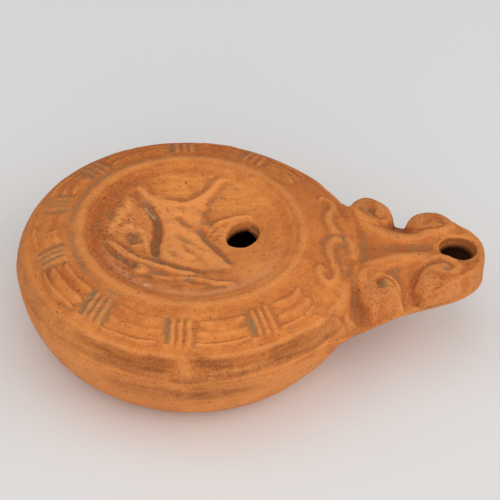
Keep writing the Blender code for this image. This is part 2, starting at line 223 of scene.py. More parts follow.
# %% Outlines of the nozzle
NECK_TOP = np.array([(NOZZLE_ROOT, 16.4), (36.1, 13.2), (42.1, 8.4), (46.6, 5.9), (50.1, 5.2),
                     (53.1, 6.2), (56.0, 8.9)])
RIM = np.array([(NOZZLE_ROOT, 30.0), (30.3, 25.1), (36.8, 21.3), (42.6, 17.9), (46.6, 15.5),
                (NECK, 13.4), (56.0, 11.2)])
SHOULDER_LOBE = (41.9, 12.6, 5.7)        # X, Y and radius
TIP_LOBE = (55.9, 8.3, 5.5)


def half_width(x, stations, tip_radius):
    """Half of the nozzle's width at x: the stations joined, then the circle round the tip."""
    turns = np.radians(np.arange(75.0, -1.0, -5.0))
    arc = np.c_[TIP_CENTRE + tip_radius * np.cos(turns), tip_radius * np.sin(turns)]
    line = np.vstack([stations, arc])
    return np.interp(x, line[:, 0], line[:, 1], right=0.0)


print("neck half width at the waist:", float(half_width(NECK, NECK_TOP, TIP)))

# %% [markdown]
# ## The nozzle's height
#
# The neck's flat top, the hollow side below it and the two lobes are three heights. The higher one
# counts at each place, with a fillet between them, so a lobe seems to swell out of the side.

# %% Heights on the nozzle
def neck_slope(x):
    """The nozzle's top rises from the neck to the shoulder, by 0.9 mm at the bowl's edge."""
    return 0.9 * (np.clip(NECK - x, 0.0, NECK - 30.0) / (NECK - SHOULDER_END)) ** 1.5


def lobe_height(x, y, lobe, height, reach_out, flare):
    """A cushion: foot + (height - foot) (1 - q^4)^(1/4), q the distance over the radius.

    The foot is 1 mm under the seam. On the lobe's outer side the radius is stretched by
    reach_out, so that it comes down to the rim, and the lobe widens by flare for each millimetre.
    """
    out = np.abs(y) - lobe[1]
    wider = 1.0 + flare * np.maximum(out, 0.0)
    q = np.hypot((x - lobe[0]) / wider, np.where(out > 0.0, out / reach_out, out)) / lobe[2]
    crown = np.maximum(1.0 - np.minimum(q, 1.0) ** 4, 0.0) ** 0.25
    return NOZZLE_SEAM - 1.0 + (height - NOZZLE_SEAM + 1.0) * crown - 3.0 * np.maximum(q - 1.0, 0.0)


def nozzle_height(x, y):
    """Neck plateau, hollow side rim + (top - rim)(1 - u)^p out to the rim's edge, and the lobes.

    p is 0.5 beside the bowl, where the side is full, and 1.3 further out, where it is hollow. Near
    the wick hole the hollow side fades, and the top is level out to the round tip.
    """
    top = NOZZLE_TOP + neck_slope(x)
    inner = half_width(x, NECK_TOP, TIP - 0.8)
    outer = np.maximum(half_width(x, RIM, TIP - 0.24), inner + 0.2)
    u = np.clip((np.abs(y) - inner) / (outer - inner), 0.0, 1.0)
    power = mix(0.5, 1.3, ramp(34.0, 38.5, x))
    rim_top = NOZZLE_SEAM + 1.5
    plate = rim_top + (top - rim_top) * (1.0 - u) ** power
    plate = mix(plate, top, ramp(56.0, 61.5, x))
    first = lobe_height(x, y, SHOULDER_LOBE, top + 0.8, 1.22, 0.0)
    second = lobe_height(x, y, TIP_LOBE, NOZZLE_TOP + 0.9, 1.16, 0.07)
    return soft_max(soft_max(plate, first, 2.4), second, 2.4)


print("neck and lobe tops:", nozzle_height(np.array([NECK, 41.9]), np.array([0.0, 12.6])).round(2))

# %% [markdown]
# ## Carving on the nozzle
#
# A raised band runs along each side of the neck and curls round the lobes, with a sharp groove
# that winds in to the eye of each volute. On the shoulder two S-shaped scrolls face each other.

# %% Bands, volutes and scrolls
BANDS = {
    "near": [(36.3, -13.4), (37.1, -11.0), (38.6, -8.4), (41.4, -6.4), (45.5, -4.2), (49.9, -3.1),
             (54.2, -3.6), (58.0, -4.6), (59.9, -6.4), (60.5, -8.8)],
    "far": [(35.6, 15.4), (37.3, 11.7), (40.1, 7.6), (43.3, 4.8), (47.7, 3.3), (52.6, 3.6),
            (57.0, 5.0), (59.7, 7.2), (60.3, 9.6)],
}
VOLUTE_GROOVES = [
    ([(42.2, -13.2), (42.0, -11.6), (43.7, -10.3), (45.7, -11.7), (46.9, -13.7), (47.0, -15.8),
      (46.4, -17.2)], 0.60, 1.15),
    ([(51.9, -13.2), (50.9, -11.0), (50.8, -8.6), (52.2, -6.5), (54.4, -5.6), (57.4, -5.5),
      (58.9, -6.4), (58.5, -7.7)], 0.65, 1.25),
    ([(42.3, 13.4), (42.1, 11.8), (43.8, 10.5), (45.7, 11.9), (46.7, 13.9)], 0.60, 0.8),
    ([(51.3, 11.6), (51.1, 8.8), (52.3, 6.7), (54.5, 5.9), (57.2, 6.0), (58.6, 7.2),
      (58.2, 8.6)], 0.60, 0.8),
    ([(43.2, -9.6), (45.0, -7.6), (47.6, -6.0), (50.6, -5.2), (53.6, -5.6)], 0.60, 0.35),
    ([(43.3, 9.8), (45.1, 7.8), (47.7, 6.2), (50.6, 5.4), (53.6, 5.8)], 0.60, 0.35),
    ([(35.6, -8.6), (35.8, -11.6), (36.0, -14.6), (36.4, -17.6), (37.2, -20.8)], 1.2, 0.45),
    ([(35.6, 8.6), (35.4, 11.6), (35.4, 14.2)], 1.2, 0.3),
]                                        # points of each line, its width and its depth
EYES = [(42.3, -13.3), (42.4, 13.4), (58.2, -7.4), (58.0, 8.4)]
EYE_SIZE, EYE_DEPTH = 0.9, 0.55
SCROLLS = [
    [(34.6, 0.0), (32.7, -1.0), (31.2, -3.6), (31.3, -7.0), (32.2, -10.4), (32.2, -13.1),
     (30.7, -15.1), (28.9, -14.4), (28.3, -12.1), (29.3, -10.4)],
    [(29.7, 14.2), (32.3, 13.1), (32.9, 10.6), (31.6, 7.0), (31.8, 4.1), (33.4, 1.2)],
    [(35.2, 1.6), (36.4, -0.5), (36.9, -3.6), (36.3, -6.2)],
]


def nozzle_carving(x, y):
    """Sum of the bands' and scrolls' ridges less the volutes' grooves and eyes."""
    z = np.zeros(np.shape(x))
    for points in BANDS.values():
        z = np.maximum(z, ridge(x, y, points, 1.9, 1.15, 0.14))
    for points in SCROLLS[:2]:
        z = np.maximum(z, ridge(x, y, points, 0.95, 0.95, 0.06))
    z = np.maximum(z, ridge(x, y, SCROLLS[2], 0.8, 0.45, 0.2))
    for points, width, depth in VOLUTE_GROOVES:
        z = z - ridge(x, y, points, width, depth, 0.1)
    for at_x, at_y in EYES:
        z = z - EYE_DEPTH * spot(x, y, at_x, at_y, EYE_SIZE)
    channel = ridge(x, y, [(37.0, 0.0), (45.0, 0.0), (57.0, 0.0)], 1.5, 0.25, 0.2)
    return z - channel


print("bands:", len(BANDS), "grooves:", len(VOLUTE_GROOVES), "scrolls:", len(SCROLLS))

# %% [markdown]
# ## The garland round the shoulder
#
# Bundles of long narrow leaves are bound by ties of three bars. The pattern repeats every few
# degrees, so it is written in polar coordinates: the angle says where along a bundle a point is,
# and the radius says which leaf it lies on.

# %% Leaves of the garland
TIES = {-1: np.array([61.3, 94.8, 130.3, 165.2]),      # degrees from the nozzle, in front
        1: np.array([61.1, 92.4, 133.9, 161.1])}       # and on the far side
FIRST_LEAF, BACK = 37.0, 197.7           # where the first bundle starts and the last one ends
LEAF_ROWS = ((30.3, 1.2), (33.0, 1.35), (35.2, 0.6))   # radius and width of each row
BUNDLE_LIFT = {-1: (1.0, 1.1, 0.95, 1.7, 0.9), 1: (1.0, 0.9, 1.1, 1.3, 0.9)}
GAP_AFTER, GAP_BEFORE = 5.4, 5.0         # degrees from a tie to the leaves on either side of it


def bundles(r, turn, side):
    """Leaves as ovals, 1 - |2s - 1|^2.8 along the bundle and cos^2 across, three rows a bundle."""
    ties = TIES[side]
    starts = np.concatenate([[FIRST_LEAF], ties + GAP_AFTER])
    ends = np.concatenate([ties - GAP_BEFORE, [BACK - GAP_BEFORE]])
    z = np.zeros(np.shape(r))
    for bundle, (start, end) in enumerate(zip(starts, ends)):
        for row, (radius, width) in enumerate(LEAF_ROWS):
            jig = np.sin(2.1 * bundle + 1.7 * row + 1.5 + 1.5 * side)
            s = np.clip((turn - start - 1.0 * row) / (end - start - 1.5), 0.0, 1.0)
            body = np.maximum(1.0 - np.abs(2.0 * s - 1.0) ** 2.8, 0.0)
            middle = radius + 0.3 * jig + 0.7 * np.sin(np.pi * s) - 0.4
            wide = 0.15 + 1.25 * width * (1.0 + 0.15 * jig) * body ** 0.6
            across = np.clip((r - middle) / wide, -1.0, 1.0)
            lift = BUNDLE_LIFT[side][bundle] * (0.72 + 0.18 * jig)
            z = z + lift * body ** 0.5 * np.cos(0.5 * np.pi * across) ** 2
    return z


print("ties in front at", TIES[-1], "and at the back at", TIES[1], "degrees")

# %% [markdown]
# ## The ties
#
# Each tie is three worn bars that cross the bundle. They are measured in millimetres sideways from
# the middle bar, and a little lean turns a tie that the mould maker cut askew.

# %% Ties of the garland
TIE_LEAN = (-0.10, 0.05, 0.16, 0.0)      # millimetres sideways for each millimetre outwards
BAR_STEP, BAR_WIDTH = 1.8, 0.66
NOT_NEAR = 99.0                          # a distance that no bar reaches
BESIDE = 2.95                            # from the middle bar to the hollow beside the tie


def tie_place(x, y, tie, lean):
    """Place on a tie: sideways from its middle bar, positive towards the back."""
    r = np.hypot(x, y)
    off = np.radians(np.abs(np.degrees(np.arctan2(y, x))) - tie)
    return np.where(np.abs(off) < 0.25, r * np.sin(off) + lean * (r - 31.0), NOT_NEAR)


def half_garland(x, y, side):
    """The bundles on one side of the nozzle's line, with the ties' bars, hollows and knots."""
    r = np.hypot(x, y)
    z = bundles(r, np.abs(np.degrees(np.arctan2(y, x))), side)
    for tie, lean in zip(TIES[side], TIE_LEAN):
        sideways = tie_place(x, y, tie, lean)
        reach = ramp(28.5, 29.8, r) * (1.0 - ramp(34.4, 36.0, r))
        strong = (1.0 if side < 0 else 0.7) * (0.6 if tie > 150.0 else 1.0)
        for bar in (-BAR_STEP, 0.0, BAR_STEP):
            worn = 1.0 + 0.45 * ripple(x + bar, y, 2.8, 71)
            z = np.maximum(z, 0.78 * worn * strong * reach * bell((sideways, bar, BAR_WIDTH, 2)))
        z = z - 0.50 * strong * reach * bell((sideways, BESIDE, 0.65, 2))
        z = z - 0.15 * strong * reach * bell((sideways, -BESIDE, 0.65, 2))
        z = z + 0.55 * strong * spot(sideways, r, 3.1, 35.4, 0.8)
    return z


def garland(x, y):
    """Both halves, at places shaken by a slow ripple, so that no leaf is quite regular."""
    x = x + 0.22 * ripple(x, y, 8.0, 51)
    y = y + 0.22 * ripple(x, y, 7.0, 52)
    return np.where(y < 0.0, half_garland(x, y, -1), half_garland(x, y, 1))


print("bundles on each side:", len(TIE_LEAN) + 1, "with", len(LEAF_ROWS), "leaves")

# %% [markdown]
# ## The worn relief in the discus
#
# The mould was tired and the surface is rubbed, so the figure is a low mass with one crisp edge, a
# softer lobe beside it and a curved branch below. Outlines with a rounded step make the masses,
# and short ridges and grooves model what is left of the detail.

# %% Relief in the discus
MASS = [(-13.9, 16.7), (-10.9, 16.0), (-7.7, 13.5), (-4.0, 12.9), (0.6, 13.7), (3.4, 16.3),
        (6.5, 19.7), (8.9, 20.4), (7.4, 17.3), (5.3, 14.0), (3.8, 10.8), (2.8, 6.5), (3.2, 1.9),
        (4.5, -1.9), (6.7, -5.3), (9.3, -9.0), (7.5, -10.8), (3.0, -10.8), (0.4, -10.2),
        (-3.0, -8.9), (-5.9, -7.6), (-7.4, -6.2), (-7.9, -3.2), (-7.0, 0.7), (-7.0, 4.9),
        (-8.1, 8.7), (-10.0, 11.6), (-12.1, 14.8)]
LOBE = [(-14.4, 15.1), (-11.6, 11.9), (-10.0, 9.4), (-8.8, 6.6), (-8.3, 3.1), (-8.8, -1.1),
        (-9.2, -4.6), (-11.5, -6.7), (-14.2, -4.6), (-17.1, -2.6), (-19.6, -0.6), (-19.7, 2.2),
        (-18.4, 6.4), (-16.6, 10.7), (-14.8, 14.4)]
BRANCH = [(-19.4, -2.8), (-16.2, -4.9), (-13.4, -7.1), (-10.4, -8.6), (-7.0, -9.8),
          (-3.8, -11.2), (-1.4, -11.8), (1.2, -12.2)]
DISCUS_RIDGES = [
    ([(-13.7, 16.6), (-9.3, 12.4), (-3.6, 4.0), (2.0, -2.2), (8.6, -9.6)], 1.8, 0.22),
    ([(-9.3, 14.4), (-3.8, 12.0), (0.6, 12.4), (4.6, 15.6), (8.2, 19.6)], 0.9, 0.35),
    ([(-15.9, 2.1), (-13.5, 3.3), (-11.4, 2.5), (-10.2, -0.9), (-9.0, -4.6)], 0.6, 0.45),
    ([(-5.3, 7.5), (-2.1, 3.7), (1.1, 0.1), (3.9, -3.8), (5.0, -5.8)], 0.7, 0.35),
    ([(-3.7, -0.1), (-0.5, -2.5), (2.6, -5.1), (4.6, -6.5)], 0.6, 0.30),
    ([(-5.4, -2.8), (-2.2, -5.1), (1.0, -6.4)], 0.6, 0.30),
    ([(-9.4, -13.0), (-4.6, -14.1), (0.1, -14.2), (4.8, -15.9), (8.7, -17.1), (9.8, -17.7)],
     0.8, 0.45),
    ([(5.1, 5.5), (8.3, 6.3), (11.3, 7.1), (14.5, 6.5)], 0.55, 0.55),
    ([(-5.6, 6.5), (-4.6, 1.2), (-2.6, -4.2), (0.2, -8.4)], 1.2, 0.3),
    ([(-18.4, 1.0), (-15.9, 6.6), (-13.6, 11.8)], 1.1, 0.3),
]
DISCUS_GROOVES = [
    ([(-10.4, 11.6), (-8.6, 8.9), (-7.6, 5.4), (-7.4, 1.6), (-8.0, -2.6), (-7.6, -6.2)], 0.8, 1.0),
    ([(-8.6, -6.6), (-5.9, -8.0), (-2.5, -9.6), (0.8, -10.7), (3.5, -11.2)], 0.6, 0.6),
    ([(1.6, 3.7), (3.9, -0.6), (6.7, -4.0), (8.9, -9.0)], 0.7, 0.5),
    ([(-19.4, -3.2), (-17.4, -6.4), (-14.4, -9.0), (-11.8, -11.6)], 0.8, 0.5),
    ([(-8.8, -12.6), (-4.4, -13.9), (0.0, -15.0), (4.0, -16.2)], 0.7, 0.35),
    ([(-3.2, 8.0), (-0.6, 5.2), (1.6, 3.0)], 0.8, 0.25),
    ([(-13.4, 1.2), (-13.1, -0.8), (-12.2, -2.4)], 1.3, 0.55),
]


def step_up(depth, height, soft):
    """A raised patch: its height reached over soft, as 1 - exp(-depth/soft), nothing outside."""
    return height * (1.0 - np.exp(-np.maximum(depth, 0.0) / soft))


def discus_relief(x, y):
    """Masses as rounded steps, plus ridges, less grooves, with a rough patch and slack folds.

    The places are shaken by a ripple first, so that no edge is drawn with a ruler.
    """
    x, y = x + 0.28 * ripple(x, y, 6.0, 41), y + 0.28 * ripple(x, y, 5.0, 42)
    z = step_up(depth_inside(x, y, MASS), 0.85, 0.9)
    z = soft_max(z, step_up(depth_inside(x, y, LOBE), 0.65, 1.8), 0.2)
    z = soft_max(z, ridge(x, y, BRANCH, 0.95, 0.85, 0.1), 0.3)
    knob = np.exp(-(((x + 11.1) ** 2 + (y + 11.5) ** 2) / 1.9 ** 2) ** 1.5)
    z = soft_max(z, knob, 0.3) - 0.06
    for points, width, height in DISCUS_RIDGES:
        z = z + 1.45 * ridge(x, y, points, width, height, 0.2)
    for points, width, depth in DISCUS_GROOVES:
        z = z - 1.25 * ridge(x, y, points, width, depth, 0.15)
    rough = bell((x, 5.8, 2.6, 2), (y, 2.6, 3.4, 2))
    z = z + 0.35 * rough * ripple(x, y, 1.1, 5) + 0.12 * ripple(x, y, 3.1, 11)
    z = z + 0.06 * ripple(x, y, 1.5, 12)
    on_mass = np.exp(-(((x + 0.5) / 9.0) ** 2 + ((y - 1.0) / 13.0) ** 2) ** 2)
    folds = 0.28 * ripple(0.35 * (x - y), x + y, 5.2, 61)
    z = z + on_mass * (folds + 0.05 * ripple(0.5 * (x - y), x + y, 2.3, 62))
    return z * (1.0 - ramp(20.2, DISH, np.hypot(x, y)))


print("relief lines:", len(DISCUS_RIDGES), "ridges,", len(DISCUS_GROOVES), "grooves")

# %% [markdown]
# ## The whole upper surface
#
# Everything so far is a height over the plan. The nozzle meets the shoulder in a soft fillet, the
# carving is added on top, and the clay sinks a little round each hole, where a finger smoothed it.

# %% Height of the lamp's top
def wick_gap(x, y):
    """How far a plan point lies outside the wick hole's ellipse, roughly, in millimetres."""
    q = np.hypot((x - WICK) / WICK_LONG, y / WICK_WIDE)
    return (q - 1.0) * 4.0


def fill_edge(turn):
    """Rim of the filling hole: its radius times 1 + 0.1 cos(2 (turn - 68 degrees))."""
    return FILL_RADIUS * (1.0 + FILL_OVAL * np.cos(2.0 * (turn - FILL_TURN)))


def top_height(x, y):
    """Body and nozzle joined by a soft maximum, with the carving, then the holes' rounded rims."""
    r = np.hypot(x, y)
    on_nozzle = ramp(33.5, 37.5, x) * (np.abs(y) < 24.0)
    z = soft_max(body_height(r), nozzle_height(x, y) - 30.0 * (1.0 - ramp(10.0, 34.0, x)), 2.6)
    z = z + nozzle_carving(x, y)
    leaves = garland(x, y) * ramp(26.6, 27.4, r) * (1.0 - ramp(35.2, 36.6, r))
    z = z + leaves * np.where(y > 0.0, 0.75, 1.0) * (1.0 - on_nozzle)
    z = z + np.where(r < DISH, discus_relief(x, y), 0.0)
    z = z + 0.07 * ripple(x, y, 7.0, 3) + 0.04 * ripple(x, y, 2.3, 9)
    fill = np.hypot(x - FILL[0], y - FILL[1]) - fill_edge(np.arctan2(y - FILL[1], x - FILL[0]))
    off = np.maximum(fill, 0.0)
    z = z - 0.25 * np.exp(-off / 0.35) - 0.1 * np.exp(-off / 1.4)
    gap = np.maximum(wick_gap(x, y), 0.0)
    return z + 0.5 * np.exp(-(gap / 3.5) ** 2) - 0.25 * np.exp(-gap / 0.4)


print("top at the axis, the ring and the neck:",
      top_height(np.array([0.0, RING, NECK]), np.zeros(3)).round(2))

# %% [markdown]
# ## Outlines round the lamp
#
# The side of the lamp is a distance from the middle for each direction. For the bowl that is its
# radius, for the nozzle it is read from the plan outline, and a lobe adds the far side of a circle.

# %% Distance to the outline for each direction
def ray_to_nozzle(turn, stretch, squeeze, inset):
    """Outline of the nozzle at one level, as distance over direction.

    It is drawn in along X from the nozzle's root by stretch, along Y by squeeze, and by a wall's
    thickness, inset.
    """
    tip = TIP - 0.06 - 0.75 * inset
    turns = np.radians(np.arange(72.0, -1.0, -6.0))
    sides = RIM.copy()
    sides[:, 1] -= 1.2 * inset
    line = np.vstack([sides, np.c_[TIP_CENTRE + tip * np.cos(turns), tip * np.sin(turns)]])
    x = NOZZLE_ROOT + (line[:, 0] - NOZZLE_ROOT) * stretch
    y = line[:, 1] * squeeze
    angle, far = np.arctan2(y, x)[::-1], np.hypot(x, y)[::-1]
    order = np.argsort(angle)
    return np.interp(np.abs(turn), angle[order], far[order], right=0.0)


def bowl_radius(depth):
    """Bowl under the seam: 29 + 10.5 cos(a)^1.2 where sin(a)^1.2 is the share of depth."""
    sine = np.clip(depth, 0.0, 1.0) ** (1.0 / 1.2)
    return BASE + (BOWL - BASE) * np.maximum(1.0 - sine ** 2, 0.0) ** 0.6


# Share of the depth, then stretch along X and squeeze along Y.
LEVELS = np.array([(0.00, 1.00, 1.00), (0.10, 0.97, 0.96), (0.25, 0.88, 0.86), (0.45, 0.72, 0.73),
                   (0.68, 0.52, 0.62), (0.90, 0.25, 0.50), (1.00, 0.15, 0.45)])


def lower_outline(turn, depth, inset=0.0):
    """Bowl and nozzle hull at a share of the depth below the seam, joined by a soft maximum."""
    stretch = np.interp(depth, LEVELS[:, 0], LEVELS[:, 1])
    squeeze = np.interp(depth, LEVELS[:, 0], LEVELS[:, 2])
    hull = ray_to_nozzle(turn, stretch, squeeze, inset)
    return soft_max(bowl_radius(depth) - inset, hull, 3.6)


def seam_height(turn):
    """The seam dips from the bowl's level to the nozzle's over the directions 32 to 46 degrees."""
    return mix(NOZZLE_SEAM, SEAM, ramp(math.radians(32.0), math.radians(46.0), np.abs(turn)))


LOBE_RIM = np.array([(46.6, 15.6), (49.0, 14.3), (50.5, 13.9), (52.2, 13.8), (54.0, 13.85),
                     (56.0, 13.8), (57.5, 13.3), (58.8, 12.4), (60.0, 11.2), (61.0, 9.9),
                     (61.7, 9.0)])


def upper_outline(turn):
    """Outline above the seam, with the lobes beside the wick hole."""
    angle, far = np.arctan2(LOBE_RIM[:, 1], LOBE_RIM[:, 0])[::-1], np.hypot(*LOBE_RIM.T)[::-1]
    lobe = np.interp(np.abs(turn), angle, far, left=0.0, right=0.0)
    return soft_max(lower_outline(turn, 0.0), lobe, 0.6)


print("outline ahead and aside:", upper_outline(np.radians([0.0, 90.0])).round(2))

# %% [markdown]
# ## One skin for the whole lamp
#
# The lamp is one closed skin, made as a stack of rings. It starts in the middle of the inner floor,
# climbs the inner wall, comes back along the ceiling to the filling hole, goes up through it and
# out over the discus, the shoulder and the nozzle, down the side and in under the base. The wick
# hole is a slit along the nozzle's middle column, pulled open into an ellipse.

# %% Ring stack
class Skin:
    """One closed skin: lists of points and faces, built ring upon ring."""

    def __init__(self):
        self.points, self.faces = [], []
        self.count = 0
        self.last = None

    def add(self, x, y, z, open_slit=False):
        """Keeps a ring's points and returns their numbers, the first repeated at the end.

        An open ring has its last point beside its first, on the other side of the wick hole.
        """
        xyz = np.c_[x, y, z] if open_slit else np.c_[x, y, z][:-1]
        self.points.append(xyz)
        numbers = np.arange(self.count, self.count + len(xyz))
        self.count += len(xyz)
        return numbers if open_slit else np.append(numbers, numbers[0])

    def join(self, first, second):
        """Faces between two rings, four-sided, or five-sided where one has twice the points."""
        a, b = len(first) - 1, len(second) - 1
        if a == b:
            corners = (first[:-1], second[:-1], second[1:], first[1:])
        elif a == 2 * b:
            corners = (first[:-2:2], second[:-1], second[1:], first[2::2], first[1:-1:2])
        else:
            corners = (first[:-1], second[:-2:2], second[1:-1:2], second[2::2], first[1:])
        self.faces.extend(np.stack(corners, axis=1).tolist())

    def stack(self, x, y, z, open_slit=False):
        """Adds a ring and joins it to the last one."""
        ring = self.add(x, y, z, open_slit)
        if self.last is not None:
            self.join(self.last, ring)
        self.last = ring
        return ring

    def close(self, z, start):
        """A fan from one point on the axis to the last ring, at the start or the end."""
        self.points.append(np.array([[0.0, 0.0, z]]))
        pole = np.full(len(self.last) - 1, self.count)
        self.count += 1
        one, other = self.last[:-1], self.last[1:]
        fan = (pole, one, other) if start else (one, pole, other)
        self.faces.extend(np.stack(fan, axis=1).tolist())


shell = Skin()

# %% [markdown]
# ## Columns of the skin
#
# Every ring has its points in the same directions. They are close together towards the nozzle,
# where the carving is fine and the surface is far from the axis, and wider round the bowl.

# %% Directions of the columns
FINE = 608
COLUMN_AT = np.array([0, 18, 26, 58, 84, FINE - 84, FINE - 58, FINE - 26, FINE - 18, FINE])
DEGREES_AT = [0.0, 9.0, 12.4, 15.8, 28.0, 332.0, 344.2, 347.6, 351.0, 360.0]
TURN = np.interp(np.linspace(0.0, 1.0, FINE + 1), COLUMN_AT / FINE, np.radians(DEGREES_AT))
SIDE = np.where(np.arange(FINE + 1) <= FINE // 2, 1.0, -1.0)
SIGNED = np.where(SIDE > 0.0, TURN, TURN - 2.0 * np.pi)


def polar(radius, turn):
    """X and Y of a ring's points."""
    return radius * np.cos(turn), radius * np.sin(turn)


print("columns:", FINE, "finest step", round(float(np.degrees(TURN[1])), 2), "degrees")

# %% [markdown]
# ## Opening the wick hole
#
# A point close to the middle column moves sideways by the half width of the hole at its place,
# and points further out move less, so that the columns crowd neatly round the rim.

# %% Slit to ellipse
def open_hole(x, y, side, centre, long, wide, spread):
    """y -> b + |y| (spread - b)/spread inside spread, where b is the ellipse's half width at x."""
    b = wide * np.sqrt(np.clip(1.0 - ((x - centre) / long) ** 2, 0.0, 1.0))
    away = np.abs(y)
    moved = np.where(away < spread, b + away * (spread - b) / spread, away)
    return side * moved


def slit_rows(low, high, steps):
    """Places along X from low to high, close together at the ends, as on an ellipse."""
    return 0.5 * (low + high) - 0.5 * (high - low) * np.cos(np.pi * np.arange(steps + 1) / steps)


HAIR = 1e-9                              # rows closer than this share are the same row


def on_slit(t, slit_t):
    """Whether a row touches the slit, and whether it lies inside it, where its ring is open."""
    low, high = slit_t[0], slit_t[-1]
    return low - HAIR < t < high + HAIR, low + HAIR < t < high - HAIR


def hole_loop(rings):
    """The rim of the slit: out along one side, back along the other."""
    out = [ring[0] for ring in rings]
    back = [ring[-1] for ring in rings[1:-1]][::-1]
    return np.array(out + back + [out[0]])


print("rows across a slit:", slit_rows(-1.0, 1.0, 4).round(2))

# %% [markdown]
# ## The inner floor and wall
#
# A real lamp is hollow, with a wall as thick as the clay pressed into the mould. Its inside repeats
# the outer outline, drawn in by that thickness, and needs only every fourth column.

# %% Inner floor and wall
turn_in, side_in, signed_in = TURN[::4], SIDE[::4], SIGNED[::4]
FLOOR, WALL = 3.0, 2.7

for share in (0.35, 0.7, 0.92):
    radius = share * lower_outline(signed_in, 0.82, WALL)
    at_start = shell.last is None
    shell.stack(*polar(radius, turn_in), np.full(len(turn_in), FLOOR))
    if at_start:
        shell.close(FLOOR, True)
for depth in (0.78, 0.66, 0.52, 0.38, 0.24, 0.12, 0.0):
    radius = lower_outline(signed_in, depth, WALL)
    shell.stack(*polar(radius, turn_in), seam_height(signed_in) * (1.0 - depth))
print("floor and inner wall:", shell.count, "points")

# %% [markdown]
# ## The ceiling
#
# From the wall the skin comes back under the shoulder to the filling hole. Its rings slide from the
# bowl's middle to the hole's, and they part under the wick hole, as the rings on top will.

# %% Ceiling
IN_HOLE = (60.6, 3.6, 3.5)               # the wick hole below: centre, half length, half width
IN_SPREAD, WICK_SPREAD = 6.5, 8.0        # how far sideways the columns make room for the hole
CEILING = np.array([(0.0, 20.8), (10.0, 21.2), (18.0, 22.6), (22.0, 23.6), (26.0, 24.0),
                    (33.0, 21.9), (37.0, 18.8)])


def ceiling_height(x, y):
    """By points over the radius, at least 20.1, but always 1.9 mm under the lamp's top."""
    body = np.interp(np.hypot(x, y), CEILING[:, 0], CEILING[:, 1])
    return np.minimum(np.maximum(body, 20.1), np.maximum(top_height(x, y) - 1.9, NOZZLE_SEAM - 1.0))


def inner_radius(t, edge):
    """From the filling hole's circle out to the inner edge, still nearly round near the hole."""
    return mix(FILL_RADIUS, mix(36.0, edge, ramp(0.0, 0.5, t)), t)


edge_in = lower_outline(signed_in, 0.0, WALL) - 0.2
fine_t = np.linspace(0.0, 1.0, 2001)
x_on_middle = FILL[0] * (1.0 - fine_t) ** 4 + inner_radius(fine_t, edge_in[0])
slit_x = slit_rows(IN_HOLE[0] - IN_HOLE[1], IN_HOLE[0] + IN_HOLE[1], 10)
slit_t = np.interp(slit_x, x_on_middle, fine_t)
to_hole = slit_t[0] * np.array([0.9, 0.78, 0.65, 0.5, 0.35, 0.2, 0.08])
inner_slit = []
for t in np.concatenate([[1.0], slit_t[::-1], to_hole]):
    radius = inner_radius(t, edge_in)
    x = FILL[0] * (1.0 - t) ** 4 + radius * np.cos(turn_in)
    y = FILL[1] * (1.0 - t) ** 4 + radius * np.sin(turn_in)
    touches, parted = on_slit(t, slit_t)
    if touches:
        y[0] = y[-1] = 0.0
        y = open_hole(x, y, side_in, *IN_HOLE, IN_SPREAD)
    ring = shell.stack(x, y, ceiling_height(x, y), parted)
    if touches:
        inner_slit.append(ring)
inner_loop = hole_loop(inner_slit[::-1])
inner_points = shell.count
print("inner skin:", inner_points, "points; slit rim", len(inner_loop) - 1)

# %% [markdown]
# ## Through the filling hole and over the discus
#
# The hole was cut through the wet clay, so it is a little oval and its edge is soft. On the discus
# the rings open from the hole's rim to the ring's inner groove, off centre at first.

# %% Filling hole, discus and ring
half = TURN[::2]


def circle_row(t, z_shift=0.0, pull=0.0):
    """Circle of the discus at share t: from the filling hole's rim to the ring's inner groove."""
    radius = mix(fill_edge(half) - pull, DISH, t)
    x = FILL[0] * (1.0 - t) + radius * np.cos(half)
    y = FILL[1] * (1.0 - t) + radius * np.sin(half)
    return x, y, top_height(x, y) + z_shift


for drop, pull in ((3.2, 0.0), (1.7, 0.05), (0.45, 0.06)):
    shell.stack(*circle_row(0.0, -drop, pull))
DISCUS_ROWS = 62
for t in np.linspace(0.0, 1.0, DISCUS_ROWS + 1) ** 1.04:
    shell.stack(*circle_row(t))
for radius in np.linspace(DISH, SHOULDER_START, 17)[1:]:
    x, y = polar(radius, half)
    shell.stack(x, y, top_height(x, y))
print("after the ring:", shell.count, "points")

# %% [markdown]
# ## Over the shoulder and out along the nozzle
#
# Between the ring and the lamp's edge the rings change from a circle to the outline. Rows crowd
# where the wick hole starts and ends, so that its rim is round.

# %% Shoulder and nozzle top
outline = upper_outline(SIGNED)
on_nozzle = 1.0 - ramp(math.radians(22.0), math.radians(38.0), np.abs(SIGNED))
round_in = mix(2.6, 1.1, on_nozzle)      # how wide the edge is rounded, bowl and nozzle
edge = outline - round_in
slit_x = slit_rows(WICK - WICK_LONG, WICK + WICK_LONG, 20)
slit_t = (slit_x - SHOULDER_START) / (edge[0] - SHOULDER_START)
before = np.linspace(0.0, slit_t[0], 61)[1:]
after = np.linspace(slit_t[-1], 1.0, 4)[1:]
outer_slit = []
for t in np.concatenate([before, slit_t[1:], after]):
    radius = mix(SHOULDER_START, edge, t)
    x, y = polar(radius, TURN)
    touches, parted = on_slit(t, slit_t)
    y = open_hole(x, y, SIDE, WICK, WICK_LONG, WICK_WIDE, WICK_SPREAD)
    ring = shell.stack(x, y, top_height(x, y), parted)
    if touches:
        outer_slit.append(ring)
edge_z = top_height(x, y)
outer_loop = hole_loop(outer_slit)
print("after the shoulder:", shell.count, "points; slit rim", len(outer_loop) - 1)

# %% [markdown]
# ## Inside the wick hole
#
# Its wall runs from the rim on top to the slit in the ceiling, through three loops that draw in a
# little, and it leans towards the bowl because the wick comes up from there.

